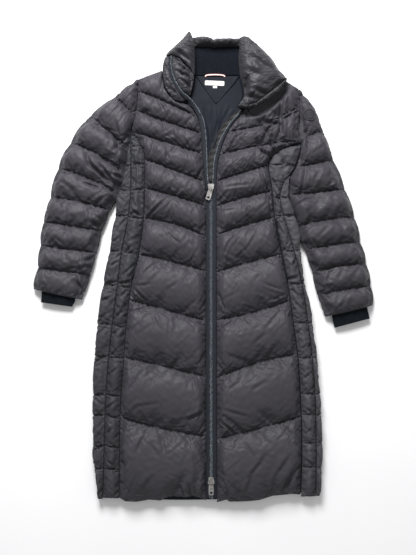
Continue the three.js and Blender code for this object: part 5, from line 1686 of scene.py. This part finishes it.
def spaced(line: np.ndarray, count: int) -> np.ndarray:
    """Divides a line into equal stretches."""
    steps = np.linalg.norm(np.diff(line, axis=0), axis=1)
    run = np.concatenate([[0], np.cumsum(steps)])
    stops = np.linspace(0, run[-1], count + 1)
    return np.stack([np.interp(stops, run, line[:, i]) for i in range(3)], 1)


def length_of(line: np.ndarray) -> float:
    """How long a line of points is."""
    return float(np.linalg.norm(np.diff(line, axis=0), axis=1).sum())


@dataclass(frozen=True)
class Cuff:
    """A ribbed knit cuff: a flattened tube that ends in a rounded mouth."""

    name: str
    rows: tuple[tuple[Place, Place], ...]
    pitch: float = 4.2
    depth: float = 1.1
    half: float = 4.9
    middle: float = 11.5

    def make(self) -> bpy.types.Object:
        """Makes the cuff with all its ribs."""
        table = np.array(self.rows, float)
        sections = smooth_path([(*row[0], *row[1])[:3] for row in table.tolist()], 18)
        outs = smooth_path([(*row[0], 0.0) for row in table.tolist()], 18)[:, :2]
        inns = smooth_path([(*row[1], 0.0) for row in table.tolist()], 18)[:, :2]
        width = float(np.hypot(*(table[0, 0] - table[0, 1])))
        ribs = round(width / self.pitch)
        per_side = ribs * 6
        rings = []
        steps = [(i, 1.0) for i in range(len(sections))] + [(len(sections) - 1, s) for s in (0.86, 0.6, 0.42)]
        pulls = {1.0: 0.0, 0.86: 1.0, 0.6: 1.2, 0.42: -9.0}
        for i, close in steps:
            ring = []
            pull = pulls[close]
            way = (outs[-1] - outs[-2]) / max(float(np.hypot(*(outs[-1] - outs[-2]))), 1e-6)
            for sign in (1, -1):
                for j in range(per_side):
                    u = (j + 0.5) / per_side
                    u = u if sign > 0 else 1 - u
                    crown = math.sin(math.pi * u) ** 0.42
                    rib = self.depth * (0.5 - 0.5 * math.cos(2 * math.pi * ribs * u)) ** 0.8
                    slack = 0.5 * math.sin(i * 0.55 + u * 9.0) * math.sin(math.pi * i / len(sections))
                    place = outs[i] * (1 - u) + inns[i] * u + way * pull
                    rise = (self.half * crown - self.depth * 0.7 + rib * 0.9) * close
                    ring.append((place[0], place[1], self.middle + sign * rise + slack * (close == 1.0)))
            rings.append(ring)
        made = ring_piece(f"{self.name}_knit", rings, CUFF_KNIT, self.name)
        return made


@dataclass
class Stitching:
    """Sewing thread: rows of small stitches, joined into one piece for each place."""

    long: float = 2.6
    thick: float = 0.5
    pitch: float = 3.6

    def run(self, name: str, lines: Sequence[np.ndarray], finish: Finish = SEWING,
            lift: float = 0.35) -> None:
        """Sews along several lines.

        Args:
            name: The piece's name.
            lines: The lines' points.
            finish: The thread's finish.
            lift: How far the thread stands over its line.
        """
        points, faces = [], []
        for line in lines:
            length = length_of(line)
            count = int(length / self.pitch)
            if count < 1:
                continue
            stops = spaced(line, count * 2)
            middles = stops[1::2]
            ways = stops[2::2] - stops[0:-1:2]
            ways /= np.maximum(np.linalg.norm(ways, axis=1, keepdims=True), 1e-6)
            for middle, way in zip(middles, ways):
                side = np.array([-way[1], way[0], 0.0])
                side /= max(float(np.linalg.norm(side)), 1e-6)
                up = np.cross(way, side)
                up = up if up[2] > 0 else -up
                centre = middle + np.array([0, 0, lift])
                start = len(points)
                points += [centre - way * self.long / 2, centre + way * self.long / 2]
                for x, z in ((1, 0.2), (0.3, 1), (-1, 0.2), (-0.3, -1)):
                    points.append(centre + side * x * self.thick + up * z * self.thick * 0.7)
                for k in range(4):
                    a, b = start + 2 + k, start + 2 + (k + 1) % 4
                    faces += [(start, a, b), (start + 1, b, a)]
        if points:
            mesh_object(name, np.array(points), faces, [finish])


@dataclass
class ZipHalf:
    """One half of the zip: its woven tape and its row of teeth."""

    name: str
    side: int
    rows: tuple[tuple[float, float, float, float], ...]
    pitch: float = 2.9
    offset: float = 0.0

    def centre(self) -> np.ndarray:
        """The chain's line, from the top down."""
        return np.array([(chain, y, z) for y, chain, _, z in self.rows], float)

    def make(self) -> np.ndarray:
        """Makes the tape and the teeth.

        Returns:
            The line of the tape's own stitches.
        """
        rows = self._dense()
        self._tape(rows)
        self._teeth(rows)
        return np.array([(tape * 0.72 + chain * 0.28, y, z + 0.9) for y, chain, tape, z in rows])

    def _dense(self) -> np.ndarray:
        """The table's rows, smoothed and closer together."""
        table = np.array(self.rows, float)
        paths = [smooth_path([(row[column], row[0], row[3]) for row in table], 260) for column in (1, 2)]
        return np.stack([paths[0][:, 1], paths[0][:, 0], paths[1][:, 0], paths[0][:, 2]], 1)

    def _tape(self, rows: np.ndarray) -> None:
        """The woven tape, with a cord along its chain edge and a soft wave at its free edge."""
        profile = ((0.0, 0.9), (0.18, 1.0), (0.3, 0.65), (0.62, 0.6), (0.9, 0.7), (1.0, 0.4))
        rings = []
        for i, (y, chain, tape, z) in enumerate(rows):
            root = chain - self.side * 1.2
            wave = 0.25 * math.sin(i * 0.33)
            upper = [(root + (tape - root) * u, y, z + h + wave * u) for u, h in profile]
            lower = [(root + (tape - root) * u, y, z - h * 0.8 + wave * u) for u, h in reversed(profile)]
            rings.append(upper + lower)
        ring_piece(f"{self.name}_tape", rings, ZIP_TAPE, self.name)

    def _teeth(self, rows: np.ndarray) -> None:
        """The teeth: small rounded blocks that stand across the chain's edge."""
        line = np.stack([rows[:, 1], rows[:, 0], rows[:, 3]], 1)
        count = int(length_of(line) / self.pitch)
        stops = spaced(line, count)
        ways = np.gradient(stops, axis=0)
        ways /= np.linalg.norm(ways, axis=1, keepdims=True)
        points, faces = [], []
        for middle, way in zip(stops[:-1] + np.diff(stops, axis=0) * self.offset, ways):
            across = np.array([-way[1], way[0], 0.0]) * self.side
            across = across if across[0] * self.side > 0 else -across
            across /= np.linalg.norm(across)
            block = []
            for reach, half, high in ((-1.2, 0.5, 0.9), (-0.8, 0.75, 1.6), (0.8, 0.6, 1.7), (1.5, 0.85, 1.3),
                                      (2.0, 0.5, 0.6)):
                for w, h in ((-half, -high * 0.6), (half, -high * 0.6), (half, high * 0.6),
                             (half * 0.5, high), (-half * 0.5, high), (-half, high * 0.6)):
                    block.append(middle + across * reach + way * w + np.array([0.0, 0.0, h]))
            faces += [tuple(len(points) + i for i in face) for face in capped(np.array(block), 5, 6)]
            points += block
        mesh_object(f"{self.name}_teeth", np.array(points), faces, [ZIP_TEETH])


def zip_halves() -> tuple[ZipHalf, ZipHalf]:
    """The zip's halves, as y, chain, tape edge and height from the top down."""
    level = 22.5
    right = (
        (560, -93, -99, 44), (537, -94, -100, 44), (511, -89, -96, 43.5), (490, -80, -88, 42.5),
        (469, -66, -75, 40.5), (454, -49, -61, 37.5), (441, -35.5, -46.4, 31), (420, -21, -32.9, 25.5),
        (396, -11, -22.6, 23.5), (355, -5.5, -16, level), (293, -3, -12, level), (245, -1, -8.2, level),
        (234, 2.4, -6.4, level), (227, 3.8, -5.3, level), (219, 5.35, -4.4, level), (150, 5.35, -4.4, level),
        (-484, 5.35, -4.4, level), (-491, 3.9, -4.4, level), (-532, 3.9, -4.4, level))
    left = (
        (427, 83.5, 89, 23.5), (413, 75, 80.5, level), (400, 63, 69.5, level), (381, 49.5, 56, level),
        (358, 36.5, 44.6, level), (336, 27, 36, level), (300, 17.5, 26.4, level), (281, 15, 22.9, level),
        (245, 13, 20.6, level), (227, 11.3, 20.4, level), (219, 9.65, 20.4, level), (150, 9.65, 20.4, level),
        (-484, 9.65, 20.4, level), (-491, 11.1, 20.4, level), (-532, 11.1, 20.4, level))
    return ZipHalf("zip_right", 1, right), ZipHalf("zip_left", -1, left, offset=0.5)


@dataclass
class Trim:
    """The patch on the sleeve and the pocket edges, laid on the finished padding."""

    padding: Padding

    def patch(self) -> None:
        """A plain round patch with a raised rim and a ring, which follows the sleeve."""
        profile = ((0.02, 1.5), (0.5, 1.5), (0.72, 1.4), (0.77, 0.5), (0.82, 0.5), (0.87, 1.9), (0.92, 2.3),
                   (0.97, 2.1), (1.0, 1.4), (1.0, -1.6), (0.5, -1.6), (0.02, -1.6))
        sides = 48
        turns = 2 * np.pi * np.arange(sides) / sides
        fit = self.padding.bent_plane("sleeve_left", BADGE_PLACE, BADGE_RADIUS)
        rings = []
        for share, lift in profile:
            offset = BADGE_RADIUS * share * np.stack([np.cos(turns), np.sin(turns)], 1)
            rings.append(np.column_stack([offset + BADGE_PLACE, bends(offset) @ fit + lift]))
        ring_piece("sleeve_badge_disc", rings, PATCH, "sleeve_badge")

    def welt(self, name: str, line: Sequence[Place], under: Sequence[str]) -> np.ndarray:
        """A pocket's folded edge along the princess seam, in shell cloth painted near-black as the pocket slit's
        shade.

        Args:
            name: The node it stands for.
            line: Its way from the top down.
            under: The pieces that it lies on.

        Returns:
            The line of its top stitches.
        """
        path = smooth_path([(x, y, 0.0) for x, y in line], 40)
        rings = []
        ridge = []
        for i, (x, y, _) in enumerate(path):
            end = min(1.0, min(i, len(path) - 1 - i) / 3.0)
            ring = []
            for dx, h in ((-2.6, 0.1), (-2.0, 0.9), (-1.0, 1.4), (0.6, 1.5), (1.8, 1.0), (2.4, 0.1),
                          (1.8, -1.2), (-1.8, -1.2)):
                heights = [self.padding.height(piece, x + dx, y) for piece in under]
                base = max([h0 for h0 in heights if h0 is not None] or [24.0])
                ring.append((x + dx * (0.6 + 0.4 * end), y, base + h * (0.5 + 0.5 * end)))
            rings.append(ring)
            ridge.append((x - 1.4, y, ring[2][2]))
        grid = np.array(rings)
        grid[1:-1, :, 2] = (grid[:-2, :, 2] + 2 * grid[1:-1, :, 2] + grid[2:, :, 2]) / 4
        # The welt's near-black finish is painted shade of the pocket slit, not the cloth's own colour.
        ring_piece(f"{name}_fold", grid, POCKET_SHADE, name)
        return np.array(ridge)


@dataclass
class Studio:
    """The pale surface, the soft light and the camera at the photograph's angle."""

    target: tuple[float, float, float] = (0.01197, -0.04589, 0.0)
    distance: float = 1.7
    tilt: float = 7.0
    focal_pixels: float = 680.0
    image_height: float = 555.0

    def camera(self) -> None:
        """Puts the camera above the coat, tilted a little towards the collar."""
        data = bpy.data.cameras.new("photo_camera")
        data.sensor_fit = "VERTICAL"
        data.sensor_height = 36.0
        data.lens = 36.0 * self.focal_pixels / self.image_height
        data.clip_end = 20.0
        made = bpy.data.objects.new("photo_camera", data)
        bpy.context.scene.collection.objects.link(made)
        angle = math.radians(self.tilt)
        made.location = (self.target[0], self.target[1] - self.distance * math.sin(angle),
                         self.distance * math.cos(angle))
        made.rotation_euler = (angle, 0.0, 0.0)
        bpy.context.scene.camera = made

    def floor(self) -> None:
        """Lays the pale surface just under the coat."""
        half = 6.0
        mesh = bpy.data.meshes.new("floor")
        mesh.from_pydata([(-half, -half, -0.0004), (half, -half, -0.0004), (half, half, -0.0004),
                          (-half, half, -0.0004)], [], [(0, 1, 2, 3)])
        mesh.materials.append(PAPER.material())
        made = bpy.data.objects.new("floor", mesh)
        bpy.context.scene.collection.objects.link(made)

    def lights(self) -> None:
        """A broad soft light from the collar's side, a weaker one from the hem, and a bright room."""
        self._area("key", (-0.35, 1.75, 1.6), (0.0, 0.0, 0.0), 0.95, 95.0)
        self._area("fill", (0.6, -1.2, 2.4), (0.0, -0.1, 0.0), 2.2, 5.0)
        world = bpy.data.worlds.new("room")
        world.use_nodes = True
        background = world.node_tree.nodes["Background"]
        background.inputs["Color"].default_value = (1.0, 1.0, 1.0, 1.0)
        background.inputs["Strength"].default_value = 0.44
        bpy.context.scene.world = world
        bpy.context.scene.view_settings.view_transform = "Standard"

    def _area(self, name: str, place: Sequence[float], aim: Sequence[float], size: float,
              power: float) -> None:
        """Adds one square light that faces a point."""
        data = bpy.data.lights.new(name, "AREA")
        data.size = size
        data.energy = power
        made = bpy.data.objects.new(name, data)
        bpy.context.scene.collection.objects.link(made)
        made.location = place
        made.rotation_euler = (Vector(aim) - Vector(place)).to_track_quat("-Z", "Y").to_euler()


def paint_metal() -> None:
    """Gives the sliders and their pull tabs, which stay as the frame has them, a metal finish."""
    for name in ("slider_top", "slider_bottom", "pull_top", "pull_bottom"):
        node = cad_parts[name]
        for material_slot in node.material_slots:
            material_slot.material = ZIP_METAL.material()


def main() -> None:
    """Builds the studio, the padded cloth and everything on it."""
    logging.basicConfig(level=logging.INFO, format="%(name)s %(message)s")
    studio = Studio()
    studio.camera()
    studio.floor()
    studio.lights()
    table = seams()
    padding = Padding()
    lower = Lower()
    rests = [lower.back(), lower.collar()]
    padding.add(*(panel.cloth() for panel in body_panels(table)))
    padding.add(*(panel.cloth() for panel in rolled_panels(table)))
    padding.add(*(sleeve.cloth() for sleeve in sleeves(table)))
    padding.add(*(panel.cloth(base=base, reach=3.0, spare=0.03, folding=0.5)
                  for panel, base in collar_panels(table)))
    padding.shape(hand_folds())
    padding.press_flat("sleeve_left", BADGE_PLACE, BADGE_RADIUS)
    for cloth in rests:
        name = cloth.name
        cloth.name = f"{name}_cloth"
        cloth.piece([SHELL, LINING], name)
    for name in ("front_right", "front_left", "sleeve_right", "sleeve_left"):
        padding.make(name, SHELL)
    for name in ("side_front", "side_back"):
        padding.make(f"{name}_right", SIDE)
        # The wearer's left side panels take the lighter copy of the side cloth, as painted light.
        padding.make(f"{name}_left", SIDE_LIT_LEFT)
    for name in ("collar_edge_right", "collar_facing_right", "collar_right", "collar_left",
                 "collar_edge_left", "collar_band"):
        padding.make(name, SATIN, 0.6)
    LOG.info("padding made")
    Cuff("cuff_right", (((-414, -10), (-329, -28)), ((-412, -40), (-328, -57)),
                        ((-413, -62), (-335, -73)))).make()
    Cuff("cuff_left", (((391, -52), (304, -72)), ((395, -84), (306, -104)),
                       ((399, -102), (311, -125)))).make()
    Neck().make()
    tapes = [half.make() for half in zip_halves()]
    LOG.info("cuffs, neck and zip made")
    trim = Trim(padding)
    trim.patch()
    welts = [
        trim.welt("pocket_welt_right", ((-163.5, 141), (-168, 98), (-176, 50), (-184.5, 6), (-187, -2)),
                  ("front_right", "side_front_right")),
        trim.welt("pocket_welt_left", ((170, 143), (176, 100), (184.5, 52), (193, 8), (197.5, -6)),
                  ("front_left", "side_front_left")),
    ]
    sewing = Stitching()
    for name in ("front_right", "front_left", "sleeve_right", "sleeve_left", "side_front_right",
                 "side_front_left"):
        count = len(padding.cloths[name].lines)
        lines = [padding.line(name, k) for k in range(1, count - 1)]
        if name.startswith("sleeve"):
            lines = [line[:len(line) // 2] for line in lines]
        sewing.run(f"{name}_stitches", lines)
    sewing.run("zip_stitches", tapes, lift=0.3)
    sewing.run("pocket_stitches", welts, lift=0.3)
    sewing.run("facing_stitches", [smooth_path(line, 40) for line in Neck().second_lines()], lift=0.2)
    paint_metal()


if __name__ == "__main__":
    main()
